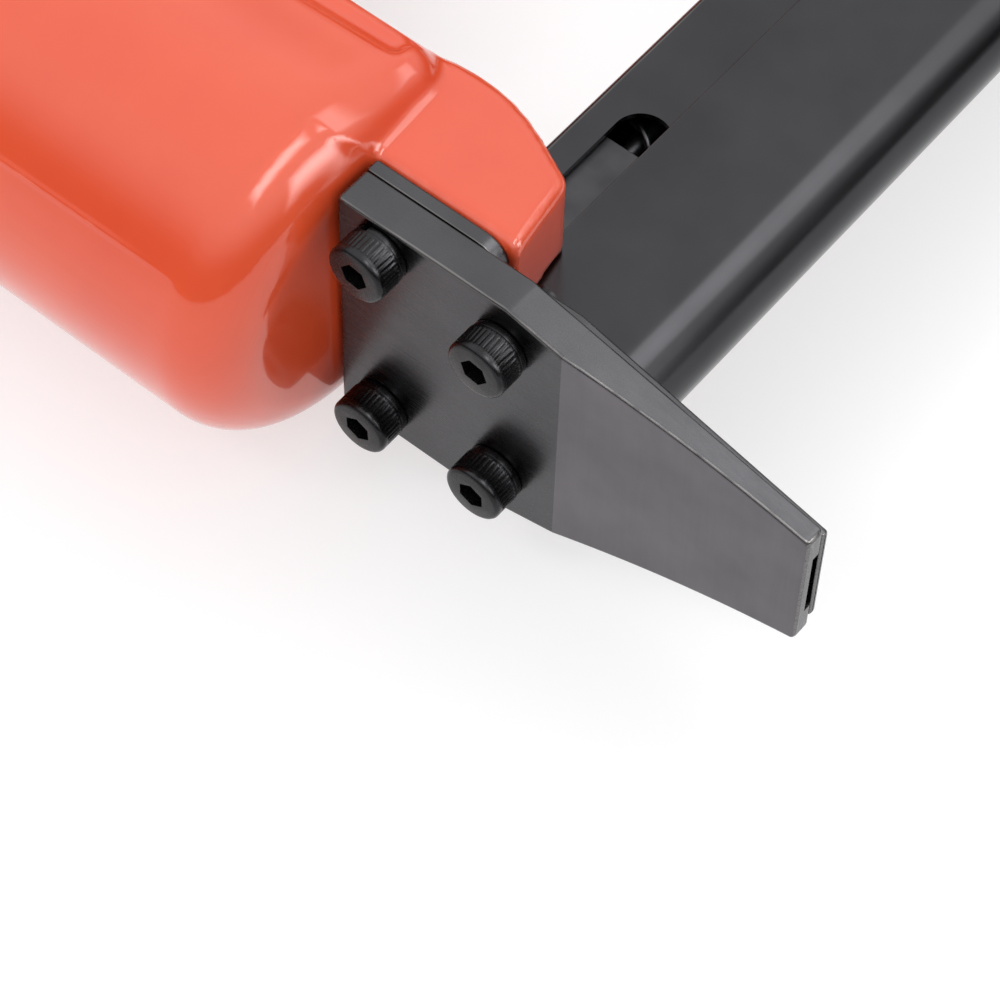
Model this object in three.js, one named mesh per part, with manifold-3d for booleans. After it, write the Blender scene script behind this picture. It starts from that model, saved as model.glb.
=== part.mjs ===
// A pneumatic stapler with a long tapered nose for fine upholstery staples, lying on its side.
// Lengths are in millimetres. X runs back along the handle and the magazine, with 0 at the front face
// of the nose plate. Y runs up the driver to the cylinder's cap, with 0 at the top end of the nose
// plate. Z points to the tool's left side, with 0 in its middle plane. The finished group is then moved
// so that the part's origin is the middle of the footprint it lies on.

import * as THREE from "three";
import { mergeVertices } from "three/addons/utils/BufferGeometryUtils.js";
import Module from "manifold-3d";

const wasm = await Module();
wasm.setup();

// Fits
const faceGap = 0.05;
const runningGap = 0.3;
const cutOverrun = 2;
const mergeDistance = 1e-4;

// Steps round a full circle: counts, not lengths
const finestSteps = 48;
const fineSteps = 32;
const plainSteps = 20;
const smallSteps = 12;
const screwSteps = 16;

// Nose: front plate, guide plate behind it, and the staple's own size
const plateHalfWidth = 18.1;
const plateThickness = 4.7;
const shoulderDrop = 22.2;
const noseLength = 59.6;
const tipHalfWidth = 9.1;
const scoopDrop = 29.6;
const scoopDepth = 2.1;
const stapleCrown = 9.3;
const slotSideGap = 0.3;
const driverThickness = 0.9;
const driverFaceGap = 0.2;
const guideThickness = 1.75;
const guideDrop = 17.6;
const guideCornerRadius = 3;
const tongueHalfWidth = 14;
const tongueThickness = 2.2;
const tongueShoulderDrop = 27;
const tongueTipHalfWidth = 7.6;
const tongueTipThickness = 0.95;
const stapleWindowTop = 15.6;
const stapleWindowBottom = 33.5;

// Nose screws and their spring washers
const screwHeadRadius = 3.6;
const screwHeadHeight = 3.4;
const screwShankRadius = 2;
const screwChamfer = 0.4;
const socketAcrossFlats = 3;
const socketDepth = 2.2;
const washerThickness = 0.8;
const washerRadius = 3.5;
const washerSplit = 0.7;
const upperScrewDrop = 5.9;
const upperScrewSpread = 13.8;
const lowerScrewDrop = 21.8;
const lowerScrewSpread = 11.4;
const upperScrewLength = 16;
const lowerScrewLength = 7.6;

// Body casting: cylinder housing, spine behind it, and the lug that carries the nose
const housingRadius = 23.25;
const housingWall = 3.85;
const housingEnd = 0.6;
const housingFloor = 7;
const housingEndRound = 8;
const housingTop = 80;
const topFlangeDrop = 15;
const topFlangeCorner = 6;
const capScrewInset = 4.85;
const capScrewShankRadius = 2.4;
const capScrewDepth = 13;
const spineRearInset = 6.3;
const spineSideInset = 1.95;
const spineCorner = 4.5;
const lugDrop = 18.5;
const lugHeelDrop = 16.9;
const lugHeelReach = 17;
const lugBackReach = 23;
const lugBackDrop = 3.6;
const lugTopReach = 20.4;
const lugHalfWidth = 18.1;
const lugEdge = 1.2;

// Handle, its air chamber and the flange at its end
const handleEnd = 168;
const handleHalfWidth = 15.5;
const handleEdge = 9;
const handleTopStep = 1;
const handleTopRearStep = 3.8;
const gripTopDip = 1.5;
const handleTrim = 2;
const gripRootDrop = 2;
const gripRearStep = 0.6;
const gripMiddleRise = 4;
const gripFrontRise = 2.5;
const gripStandoff = 12;
const chamberRadius = 10.4;
const chamberFront = 12;
const flangeLength = 11;
const guardWall = 6.05;
const flangeCorner = 7;
const endScrewInset = 4.3;

// Cap, gasket, exhaust deflector
const gasketThickness = 0.8;
const capHeight = 13;
const capDomeHeight = 4.5;
const capDomeInset = 1;
const capDomeEdge = 1.8;
const capCavityInset = 1.4;
const exhaustHoleRadius = 1.8;
const exhaustHoleSpread = 7.4;
const exhaustHoles = 4;
const capHeadRadius = 4.2;
const capHeadHeight = 4.6;
const capSocketAcrossFlats = 4;
const capSocketDepth = 2.8;
const deflectorInset = 2.5;
const deflectorHeight = 6;
const deflectorWall = 1.6;
const deflectorMouthWidth = 16;
const deflectorHubRadius = 4.4;
const deflectorEdge = 1;
const deflectorScrewRadius = 2;
const deflectorScrewDepth = 5;
const deflectorHeadRadius = 4;
const deflectorHeadHeight = 2.2;
const deflectorSocketDepth = 1.4;

// Sleeve, piston, driver, bumper and head valve
const sleeveAirSpace = 2;
const sleeveWall = 2.4;
const sleeveFlange = 3.2;
const collarY = 44;
const collarHeight = 7;
const collarGrooveWidth = 2.4;
const collarGrooveDepth = 1.6;
const returnHoleRadius = 1.2;
const returnHoleY = 37;
const lowerHoleY = 13.5;
const returnHoles = 6;
const pistonHeight = 14;
const pistonClearance = 0.4;
const pistonGrooveY = 9;
const pistonGrooveWidth = 2.6;
const pistonGrooveDepth = 1.8;
const pistonDishRadius = 9.5;
const pistonDishDepth = 3;
const driverSeat = 8;
const driverRestDrop = 15;
const driverOvertravel = 0.5;
const driverPinRadius = 1.5;
const driverPinInset = 2;
const bumperHeight = 12;
const bumperWaist = 2.3;
const bumperHoleGap = 1.1;
const headValveHeight = 4.4;
const headValveLift = 3;
const headValveHubRadius = 5;
const headValveHubHeight = 2.5;
const headSpringSpace = 1.7;
const headSpringRadius = 8.4;
const headSpringWire = 1.2;
const headSpringCurls = 3;

// Trigger and its valve
const triggerStandoff = 5.7;
const triggerPivotDrop = 5.4;
const triggerHalfWidth = 6.6;
const triggerBossRadius = 4.4;
const triggerEdge = 0.8;
const triggerArm = 13;
const triggerLength = 29;
const triggerDepth = 10.2;
const triggerAngle = 9;
const triggerPinRadius = 1.75;
const triggerPinOverhang = 1;
const earThickness = 3.2;
const earRadius = 5.4;
const valvePadRim = 2.5;
const valveBodyRadius = 6.3;
const valveFlangeRadius = 8;
const valveFlangeHeight = 1.4;
const valveBodyHeight = 21;
const valveBoreRadius = 3.2;
const valveBoreHeight = 18;
const valveGrooveY = 4;
const valveGrooveWidth = 1.9;
const valveGrooveDepth = 1.3;
const valvePortRadius = 1.2;
const valvePortHeight = 14;
const stemRadius = 2.4;
const stemCollarRadius = 2.9;
const stemTipChamfer = 1.2;
const stemShoulderHeight = 8;
const stemCollarHeight = 2;
const stemPinRadius = 1;
const stemPinHeight = 3;
const stemSpringRadius = 2.2;
const stemSpringWire = 0.7;
const stemSpringCurls = 5;

// Inlet: end cap, rubber bumper ring and quick plug
const endCapThickness = 9;
const endCapBossRadius = 9.2;
const endCapBossLength = 5;
const inletBoreRadius = 5.8;
const endScrewDepth = 8;
const guardCorner = 10;
const guardEdge = 1.8;
const plugHexAcrossFlats = 14;
const plugHexLength = 7;
const plugThreadRadius = 5.5;
const plugThreadLength = 10;
const plugShankRadius = 5;
const plugNeckRadius = 3.9;
const plugLength = 24;
const plugNoseLength = 5;
const plugNeckLength = 3.4;
const plugBoreRadius = 2.4;

// Magazine: fixed rail, sliding cover, pusher and latch
const railTopDrop = 6;
const railHalfWidth = 5.5;
const railSheet = 0.7;
const railSkirtDrop = 28;
const magazineFront = 7.2;
const railEnd = 190;
const windowTopDrop = 10.1;
const windowHeight = 6.8;
const windowEnd = 37.9;
const windowStart = 13;
const coverHalfWidth = 6.35;
const coverSheet = 0.7;
const coverTopDrop = 15.2;
const coverRoundDrop = 29.1;
const coverEnd = 190.6;
const stapleGuideHalfWidth = 3.3;
const stapleGuideSheet = 0.8;
const stapleGuideTopDrop = 17.3;
const stapleGuideEnd = 186;
const pusherFront = 9;
const pusherLength = 24;
const pusherHalfWidth = 4.4;
const pusherTopDrop = 7.2;
const pusherLegDrop = 30;
const rodDrop = 11.4;
const rodRadius = 1.25;
const rodSeat = 4;
const rodInset = 1;
const pusherSpringRadius = 2.5;
const pusherSpringWire = 0.8;
const pusherSpringCurls = 18;
const endBlockLength = 22;
const endBlockBottomDrop = 16.6;
const footScrewRadius = 1.9;
const footHeadRadius = 3.2;
const footHeadHeight = 2.4;
const footSocketAcrossFlats = 2.5;
const footSocketDepth = 1.5;
const footScrewBack = 8;
const footScrewDepth = 7;
const gripBlockLength = 16;
const gripBlockHalfWidth = 8;
const gripBlockBottomDrop = 36.4;
const gripBlockTopDrop = 14;
const gripBlockCorner = 4;
const latchEarThickness = 2.4;
const latchEarRadius = 4;
const latchPivotBack = 7;
const latchPivotDrop = 9;
const latchHalfWidth = 5;
const latchPinRadius = 1.25;
const latchPinOverhang = 0.5;
const latchBossRadius = 3.2;
const latchNoseReach = 14;
const latchTailReach = 13;
const latchTailRise = 2;
const latchThickness = 2.6;
const latchSpringBack = 6;
const latchSpringRadius = 2;
const latchSpringWire = 0.6;
const latchSpringCurls = 3;

// Hanger bracket between the handle's end and the magazine
const bracketThickness = 3;
const bracketHalfWidth = 7.5;
const bracketFootLength = 11;
const bracketToeLength = 16;
const bracketBend = 1.2;
const bracketScrewBack = 7.6;
const bracketScrewSpread = 4.2;
const bracketScrewDepth = 5;

// Values that follow from the ones above
const slotDepth = driverThickness + 2 * driverFaceGap;
const slotHalfWidth = stapleCrown / 2 + slotSideGap;
const driverHalfWidth = stapleCrown / 2 - slotSideGap / 2;
const bumperHoleRadius = driverHalfWidth + bumperHoleGap;
const axisX = plateThickness - slotDepth / 2;
const housingBoreRadius = housingRadius - housingWall;
const capScrewSpread = housingRadius - capScrewInset;
const spineRear = housingRadius - spineRearInset;
const spineHalfWidth = housingRadius - spineSideInset;
const flangeHalf = housingRadius - guardWall;
const endScrewSpread = flangeHalf - endScrewInset;
const chamberY = housingTop + gasketThickness - flangeHalf;
const flangeBottomY = chamberY - flangeHalf;
const handleTopFront = housingTop - handleTopStep;
const handleTopRear = chamberY + flangeHalf - handleTopRearStep;
const gripRearY = flangeBottomY + gripRearStep;
const handleRootY = gripRearY - gripRootDrop;
const triggerPivotY = handleRootY - triggerPivotDrop;
const valveBodyTop = handleRootY + valveBodyHeight;
const valveBoreTop = handleRootY + valveBoreHeight;
const valvePortY = handleRootY + valvePortHeight;
const stemShoulderY = handleRootY + stemShoulderHeight;
const gripMiddleY = gripRearY + gripMiddleRise;
const gripFrontY = gripRearY + gripFrontRise;
const capCavityRadius = housingBoreRadius - capCavityInset;
const capDomeRadius = capCavityRadius - capDomeInset;
const deflectorRadius = capDomeRadius - deflectorInset;
const sleeveRadius = housingBoreRadius - sleeveAirSpace;
const sleeveBoreRadius = sleeveRadius - sleeveWall;
const pistonRadius = sleeveBoreRadius - pistonClearance;
const triggerPivotX = axisX + housingRadius + triggerStandoff;
const gripFrontX = triggerPivotX + triggerLength + gripStandoff;
const valvePadRadius = valveFlangeRadius + valvePadRim;
const lugFront = plateThickness + guideThickness + 2 * faceGap;
const guideFront = plateThickness + faceGap;
const floorTop = housingEnd + housingFloor;
const capBottom = housingTop + gasketThickness + 2 * faceGap;
const headValveRest = housingTop + runningGap;
const headValveTop = headValveRest + headValveHeight;
const headValveReach = headValveTop + headValveHubHeight + headValveLift;
const capCavityDepth = headValveReach + headSpringSpace - capBottom;
const capTop = capBottom + capHeight + capDomeHeight;
const driverRest = -driverRestDrop;
const driverStroke = noseLength + driverOvertravel - driverRestDrop;
const bumperTop = floorTop + faceGap + bumperHeight;
const pistonRest = bumperTop + driverStroke + runningGap;
const stemTravel = triggerArm * Math.sin(THREE.MathUtils.degToRad(triggerAngle));
const stemTipY = handleRootY - runningGap - stemTravel;
const headValveRadius = capCavityRadius - runningGap;
const seatRadius = housingBoreRadius - runningGap;
const scoopLength = noseLength - scoopDrop;
const scoopRadius = (scoopLength ** 2 + scoopDepth ** 2) / (2 * scoopDepth);
const washerStack = washerThickness + 2 * faceGap;
const valveX = triggerPivotX + triggerArm;
const stemStepY = stemShoulderY - runningGap;
const endCapFront = handleEnd + faceGap;
const endCapBack = endCapFront + endCapThickness;
const plugSeat = endCapBack + endCapBossLength + faceGap;
const pusherBack = pusherFront + pusherLength;
const endBlockFront = railEnd - endBlockLength;
const footScrewX = endBlockFront + footScrewBack;
const gripBlockFront = coverEnd + faceGap;
const latchPivotX = gripBlockFront + latchPivotBack;

// Solids and shapes

// A closed geometry as a solid that can be joined and cut.
function solid(geometry) {
  const bare = new THREE.BufferGeometry();
  const source = geometry.index ? geometry.toNonIndexed() : geometry;
  bare.setAttribute("position", source.getAttribute("position").clone());
  const merged = mergeVertices(bare, mergeDistance);
  const mesh = new wasm.Mesh({
    numProp: 3,
    vertProperties: merged.getAttribute("position").array,
    triVerts: new Uint32Array(merged.index.array),
  });
  return new wasm.Manifold(mesh);
}

function join(pieces) {
  return pieces.reduce((whole, piece) => whole.add(piece));
}

function cut(body, cutters) {
  return cutters.reduce((left, cutter) => left.subtract(cutter), body);
}

// A block between two corners.
function block([x0, y0, z0], [x1, y1, z1]) {
  const geometry = new THREE.BoxGeometry(x1 - x0, y1 - y0, z1 - z0);
  return solid(geometry.translate((x0 + x1) / 2, (y0 + y1) / 2, (z0 + z1) / 2));
}

// A closed outline of [across, up] points, some of which may carry a corner radius as a third value.
function outline(points, steps = 4) {
  const shape = new THREE.Shape();
  const corners = [];
  points.forEach(([u, v, radius = 0], i) => {
    const before = new THREE.Vector2(...points.at(i - 1).slice(0, 2));
    const after = new THREE.Vector2(...points[(i + 1) % points.length].slice(0, 2));
    const here = new THREE.Vector2(u, v);
    if (!radius) {
      corners.push(here);
      return;
    }
    const toBefore = before.sub(here).normalize();
    const toAfter = after.sub(here).normalize();
    const half = Math.acos(THREE.MathUtils.clamp(toBefore.dot(toAfter), -1, 1)) / 2;
    const run = radius / Math.tan(half);
    const centre = toBefore.clone().add(toAfter).normalize();
    centre.multiplyScalar(radius / Math.sin(half)).add(here);
    const from = here.clone().addScaledVector(toBefore, run).sub(centre);
    const to = here.clone().addScaledVector(toAfter, run).sub(centre);
    const turn = Math.atan2(from.cross(to), from.dot(to));
    for (let k = 0; k <= steps; k++) {
      const a = from.angle() + (turn * k) / steps;
      corners.push(new THREE.Vector2(Math.cos(a), Math.sin(a)).multiplyScalar(radius).add(centre));
    }
  });
  shape.setFromPoints(corners);
  return shape;
}

// A side outline in X and Y, given its width along Z, with its edges rounded by a bevel.
function slab(shape, zLow, zHigh, edge = 0, edgeSteps = 2) {
  const geometry = new THREE.ExtrudeGeometry(shape, {
    depth: zHigh - zLow - 2 * edge,
    steps: 1,
    bevelEnabled: edge > 0,
    bevelThickness: edge,
    bevelSize: edge,
    bevelOffset: -edge,
    bevelSegments: edgeSteps,
    curveSegments: 8,
  });
  return solid(geometry.translate(0, 0, zLow + edge));
}

// A section whose first value is Z and whose second is Y, drawn out along X.
function barX(shape, xLow, xHigh, edge = 0, edgeSteps = 2) {
  return slab(shape, -xHigh, -xLow, edge, edgeSteps).rotate([0, -90, 0]);
}

// A section whose first value is X and whose second is -Z, drawn out along Y.
function barY(shape, yLow, yHigh, edge = 0, edgeSteps = 2) {
  return slab(shape, yLow, yHigh, edge, edgeSteps).rotate([-90, 0, 0]);
}

// A profile of [radius, place] points turned round an axis through the origin.
function turned(points, steps, axis = "y") {
  const profile = points.map(([r, along]) => new THREE.Vector2(r, along));
  const geometry = new THREE.LatheGeometry(profile, steps);
  if (axis === "x") geometry.rotateZ(-Math.PI / 2);
  if (axis === "z") geometry.rotateX(Math.PI / 2);
  return upright(solid(geometry));
}

// Turns a solid's faces outwards if its profile was given the other way round.
function upright(piece) {
  if (piece.volume() > 0) return piece;
  const mesh = piece.getMesh();
  const turnedRound = mesh.triVerts.map((_, i, all) => all[i - (i % 3) + 2 - (i % 3)]);
  return new wasm.Manifold(
    new wasm.Mesh({ numProp: 3, vertProperties: mesh.vertProperties, triVerts: turnedRound }),
  );
}

function rod(radius, low, high, steps, axis = "y") {
  return turned([[0, low], [radius, low], [radius, high], [0, high]], steps, axis);
}

function ring(inner, outer, low, high, steps, axis = "y") {
  const profile = [[inner, low], [outer, low], [outer, high], [inner, high], [inner, low]];
  return turned(profile, steps, axis);
}

// An O-ring lying round an axis: its mean radius, the radius of its section and its place.
function oRing(mean, section, place, steps, axis = "y") {
  const sides = 6;
  const profile = Array.from({ length: sides + 1 }, (_, k) => {
    const a = (2 * Math.PI * (k % sides)) / sides;
    return [mean + section * Math.cos(a), place + section * Math.sin(a)];
  });
  return turned(profile, steps, axis);
}

// A hexagon given across its flats, with its first corner pointing along the section's first axis.
function hexagon(acrossFlats) {
  const corner = acrossFlats / Math.sqrt(3);
  const points = Array.from({ length: 6 }, (_, k) => {
    const a = (Math.PI * k) / 3;
    return [corner * Math.cos(a), corner * Math.sin(a)];
  });
  return outline(points);
}

// A helix of round wire along X: each curl has 8 steps of 5 sides. It returns the solid and prints the
// least gap between two neighbouring turns, measured on points of the helix.
function helix(name, radius, wireRadius, length, curls) {
  const perCurl = 8;
  const pitch = (length - 2 * wireRadius) / curls;
  class Helix extends THREE.Curve {
    getPoint(t, target = new THREE.Vector3()) {
      const a = 2 * Math.PI * curls * t;
      return target.set(wireRadius + pitch * curls * t, radius * Math.cos(a), radius * Math.sin(a));
    }
  }
  const path = new Helix();
  const steps = curls * perCurl;
  const frames = path.computeFrenetFrames(steps, false);
  const sides = 5;
  const places = [];
  const faces = [];
  for (let i = 0; i <= steps; i++) {
    const middle = path.getPoint(i / steps);
    for (let k = 0; k < sides; k++) {
      const a = (2 * Math.PI * k) / sides;
      const point = middle.clone();
      point.addScaledVector(frames.normals[i], wireRadius * Math.cos(a));
      point.addScaledVector(frames.binormals[i], wireRadius * Math.sin(a));
      places.push(...point.toArray());
    }
  }
  for (let i = 0; i < steps; i++) {
    for (let k = 0; k < sides; k++) {
      const a = i * sides + k;
      const b = i * sides + ((k + 1) % sides);
      faces.push(a, b, b + sides, a, b + sides, a + sides);
    }
  }
  for (let k = 1; k < sides - 1; k++) {
    faces.push(0, k + 1, k);
    const last = steps * sides;
    faces.push(last, last + k, last + k + 1);
  }
  console.log(`${name}: least gap between turns ${(pitch - 2 * wireRadius).toFixed(2)} mm`);
  const piece = new wasm.Manifold(
    new wasm.Mesh({
      numProp: 3,
      vertProperties: new Float32Array(places),
      triVerts: new Uint32Array(faces),
    }),
  );
  return upright(piece);
}

// A socket screw along X: its head's end face at -headHeight, its head seated at 0, its shank behind.
function socketScrew({ headRadius, headHeight, shankRadius, length, acrossFlats, depth }) {
  const profile = [
    [0, -headHeight],
    [headRadius - screwChamfer, -headHeight],
    [headRadius, screwChamfer - headHeight],
    [headRadius, 0],
    [shankRadius, 0],
    [shankRadius, length - screwChamfer],
    [shankRadius - screwChamfer, length],
    [0, length],
  ];
  const recess = barX(hexagon(acrossFlats), -headHeight - cutOverrun, depth - headHeight);
  return cut(turned(profile, screwSteps, "x"), [recess]);
}

// Finishes: colour, roughness and metalness of each kind of surface
const finishes = {
  paint: { color: "#e8583c", roughness: 0.25, metalness: 0 },
  blackSteel: { color: "#2b2b2d", roughness: 0.45, metalness: 0.7 },
  blackScrew: { color: "#1b1b1c", roughness: 0.4, metalness: 0.8 },
  brightSteel: { color: "#b9bcc0", roughness: 0.3, metalness: 1 },
  blackCast: { color: "#232325", roughness: 0.55, metalness: 0.2 },
  blackPlastic: { color: "#1d1d1f", roughness: 0.5, metalness: 0 },
  rubber: { color: "#141414", roughness: 0.85, metalness: 0 },
  urethane: { color: "#c9a24a", roughness: 0.5, metalness: 0 },
  gasket: { color: "#3a3f38", roughness: 0.9, metalness: 0 },
  aluminium: { color: "#c3c5c8", roughness: 0.4, metalness: 1 },
  brass: { color: "#c69a4e", roughness: 0.3, metalness: 1 },
};

// Puts a solid into a group as a named mesh at its place.
function add(group, name, piece, finish, x = 0, y = 0, z = 0) {
  const made = piece.getMesh();
  const geometry = new THREE.BufferGeometry();
  geometry.setAttribute("position", new THREE.BufferAttribute(made.vertProperties, made.numProp));
  geometry.setIndex(new THREE.BufferAttribute(made.triVerts, 1));
  geometry.computeVertexNormals();
  const mesh = new THREE.Mesh(geometry, new THREE.MeshStandardMaterial(finishes[finish]));
  mesh.name = name;
  mesh.position.set(x, y, z);
  group.add(mesh);
}

const stapler = new THREE.Group();
const cylinder = new THREE.Group();
cylinder.position.x = axisX;
stapler.add(cylinder);

// Body casting

// The section shared by the housing's top flange, the gasket and the cap, about the cylinder's axis.
const flangeSection = outline(
  [
    [-housingRadius, -housingRadius, topFlangeCorner],
    [housingRadius, -housingRadius, topFlangeCorner],
    [housingRadius, housingRadius, topFlangeCorner],
    [-housingRadius, housingRadius, topFlangeCorner],
  ],
  6,
);
const capScrewPlaces = [
  [-capScrewSpread, capScrewSpread],
  [capScrewSpread, capScrewSpread],
  [-capScrewSpread, -capScrewSpread],
  [capScrewSpread, -capScrewSpread],
];
const nosePlaces = [
  { name: "upper_left", y: -upperScrewDrop, z: upperScrewSpread, length: upperScrewLength },
  { name: "upper_right", y: -upperScrewDrop, z: -upperScrewSpread, length: upperScrewLength },
  { name: "lower_left", y: -lowerScrewDrop, z: lowerScrewSpread, length: lowerScrewLength },
  { name: "lower_right", y: -lowerScrewDrop, z: -lowerScrewSpread, length: lowerScrewLength },
];
const endScrewPlaces = [
  [endScrewSpread, endScrewSpread],
  [-endScrewSpread, endScrewSpread],
  [endScrewSpread, -endScrewSpread],
  [-endScrewSpread, -endScrewSpread],
];
const bracketScrewPlaces = [
  [handleEnd - bracketScrewBack, bracketScrewSpread],
  [handleEnd - bracketScrewBack, -bracketScrewSpread],
];
const magazineCut = coverHalfWidth + runningGap;
const earLow = triggerHalfWidth + runningGap;

function bodyCasting() {
  const roundSteps = 5;
  const rounded = Array.from({ length: roundSteps + 1 }, (_, k) => {
    const a = (Math.PI * k) / (2 * roundSteps);
    return [
      housingRadius - housingEndRound * (1 - Math.sin(a)),
      housingEnd + housingEndRound * (1 - Math.cos(a)),
    ];
  });
  const barrel = turned(
    [[0, housingEnd], ...rounded, [housingRadius, housingTop], [0, housingTop]],
    finestSteps,
  );
  const flangeBottom = housingTop - topFlangeDrop;
  const flange = barY(flangeSection, flangeBottom, housingTop, lugEdge, 1);
  const spine = barY(
    outline(
      [
        [0, -spineHalfWidth],
        [spineRear, -spineHalfWidth, spineCorner],
        [spineRear, spineHalfWidth, spineCorner],
        [0, spineHalfWidth],
      ],
      5,
    ),
    housingEnd + spineCorner / 2,
    flangeBottom + lugEdge,
    spineCorner / 2,
    2,
  );
  const outside = join([barrel, flange, spine]).translate([axisX, 0, 0]);

  const lug = slab(
    outline([
      [lugFront, housingEnd + housingEndRound],
      [lugFront, -lugDrop],
      [lugHeelReach, -lugHeelDrop, lugEdge],
      [lugBackReach, -lugBackDrop, lugHeelReach / 2],
      [lugTopReach, housingEnd + housingEndRound],
    ]),
    -lugHalfWidth,
    lugHalfWidth,
  );

  const handle = slab(
    outline(
      [
        [axisX, handleTopFront],
        [axisX, handleRootY],
        [gripFrontX - handleEdge, handleRootY, handleEdge * 2],
        [gripFrontX, gripFrontY, handleEdge * 2],
        [(gripFrontX + handleEnd) / 2, gripMiddleY],
        [handleEnd + handleEdge, gripRearY],
        [handleEnd + handleEdge, handleTopRear],
        [(gripFrontX + handleEnd) / 2, handleTopFront - gripTopDip],
      ],
      4,
    ),
    -handleHalfWidth,
    handleHalfWidth,
    handleEdge,
    4,
  );
  // The handle is drawn longer by its rounded edge, and cut off inside the flange.
  const handleRest = block(
    [handleEnd - handleTrim, flangeBottomY - cutOverrun, -handleHalfWidth - cutOverrun],
    [handleEnd + handleEdge + cutOverrun, housingTop + cutOverrun, handleHalfWidth + cutOverrun],
  );
  const handleFlange = barX(
    outline(
      [
        [-flangeHalf, chamberY - flangeHalf, flangeCorner],
        [flangeHalf, chamberY - flangeHalf, flangeCorner],
        [flangeHalf, chamberY + flangeHalf, flangeCorner],
        [-flangeHalf, chamberY + flangeHalf, flangeCorner],
      ],
      5,
    ),
    handleEnd - flangeLength,
    handleEnd,
  );
  const valvePad = rod(valvePadRadius, handleRootY, chamberY, plainSteps).translate([valveX, 0, 0]);

  const ears = [1, -1].map((side) => {
    const shape = outline(
      [
        [triggerPivotX - earRadius, handleRootY + handleEdge],
        [triggerPivotX - earRadius, triggerPivotY - earRadius, earRadius],
        [triggerPivotX + earRadius, triggerPivotY - earRadius, earRadius],
        [triggerPivotX + earRadius, handleRootY + handleEdge],
      ],
      5,
    );
    const edges = [side * earLow, side * (earLow + earThickness)].sort((a, b) => a - b);
    return slab(shape, ...edges);
  });

  const bore = rod(housingBoreRadius, floorTop, housingTop + cutOverrun, fineSteps).translate([axisX, 0, 0]);
  const driverSlot = block(
    [axisX - slotDepth / 2, housingEnd - cutOverrun, -slotHalfWidth],
    [axisX + slotDepth / 2, floorTop + cutOverrun, slotHalfWidth],
  );
  const chamber = rod(chamberRadius, chamberFront, handleEnd + cutOverrun, plainSteps, "x");
  const valveBore = join([
    rod(valveBodyRadius + runningGap / 2, handleRootY - cutOverrun, valveBodyTop + runningGap, plainSteps),
    rod(
      valveFlangeRadius + runningGap,
      handleRootY - cutOverrun,
      handleRootY + valveFlangeHeight + faceGap,
      plainSteps,
    ),
  ]).translate([valveX, 0, 0]);
  const pinHole = rod(
    triggerPinRadius + runningGap / 2,
    -handleHalfWidth,
    handleHalfWidth,
    smallSteps,
    "z",
  ).translate([triggerPivotX, triggerPivotY, 0]);
  const magazineSlot = block(
    [lugFront - cutOverrun, -lugDrop - cutOverrun, -magazineCut],
    [lugBackReach + cutOverrun, runningGap - railTopDrop, magazineCut],
  );
  const capHoles = capScrewPlaces.map(([x, z]) =>
    rod(capScrewShankRadius + runningGap / 2, housingTop - capScrewDepth, housingTop + cutOverrun, smallSteps)
      .translate([axisX + x, 0, z]),
  );
  const noseHoles = nosePlaces.slice(0, 2).map(({ y, z }) =>
    rod(
      screwShankRadius + runningGap / 2,
      lugFront - cutOverrun,
      upperScrewLength + runningGap,
      smallSteps,
      "x",
    ).translate([0, y, z]),
  );
  const endHoles = endScrewPlaces.map(([z, y]) =>
    rod(
      screwShankRadius + runningGap / 2,
      handleEnd - endScrewDepth - runningGap,
      handleEnd + cutOverrun,
      smallSteps,
      "x",
    ).translate([0, chamberY + y, z]),
  );
  const bracketHoles = bracketScrewPlaces.map(([x, z]) =>
    rod(
      footScrewRadius + runningGap / 2,
      flangeBottomY - cutOverrun,
      flangeBottomY + bracketScrewDepth + runningGap,
      smallSteps,
    ).translate([x, 0, z]),
  );
  return cut(join([outside, lug, handle.subtract(handleRest), handleFlange, valvePad, ...ears]), [
    bore,
    driverSlot,
    chamber.translate([0, chamberY, 0]),
    valveBore,
    pinHole,
    magazineSlot,
    ...capHoles,
    ...noseHoles,
    ...endHoles,
    ...bracketHoles,
  ]);
}

add(stapler, "body_casting", bodyCasting(), "paint");

// Nose: front plate, guide plate, four socket screws and their spring washers

const nose = new THREE.Group();
stapler.add(nose);

function plateHoles(clearance) {
  return nosePlaces.map(({ y, z }) =>
    rod(screwShankRadius + clearance, -cutOverrun, lugFront + cutOverrun, smallSteps, "x")
      .translate([0, y, z]),
  );
}

function frontNosePlate() {
  const plate = barX(
    outline([
      [-plateHalfWidth, 0],
      [-plateHalfWidth, -shoulderDrop],
      [-tipHalfWidth, -noseLength],
      [tipHalfWidth, -noseLength],
      [plateHalfWidth, -shoulderDrop],
      [plateHalfWidth, 0],
    ]),
    0,
    plateThickness,
  );
  const scoopSteps = 8;
  const scoop = Array.from({ length: scoopSteps + 1 }, (_, k) => {
    const along = (scoopLength * k) / scoopSteps;
    const depth = scoopDepth - scoopRadius + Math.sqrt(scoopRadius ** 2 - along ** 2);
    return [depth, along - noseLength];
  });
  const scoopShape = outline([
    [-cutOverrun, -noseLength - cutOverrun],
    [scoopDepth, -noseLength - cutOverrun],
    ...scoop,
    [-cutOverrun, -scoopDrop],
  ]);
  const groove = block(
    [plateThickness - slotDepth, -noseLength - cutOverrun, -slotHalfWidth],
    [plateThickness + cutOverrun, cutOverrun, slotHalfWidth],
  );
  const scoopCut = slab(scoopShape, -plateHalfWidth - cutOverrun, plateHalfWidth + cutOverrun);
  return cut(plate, [scoopCut, groove, ...plateHoles(runningGap / 2)]);
}

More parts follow.
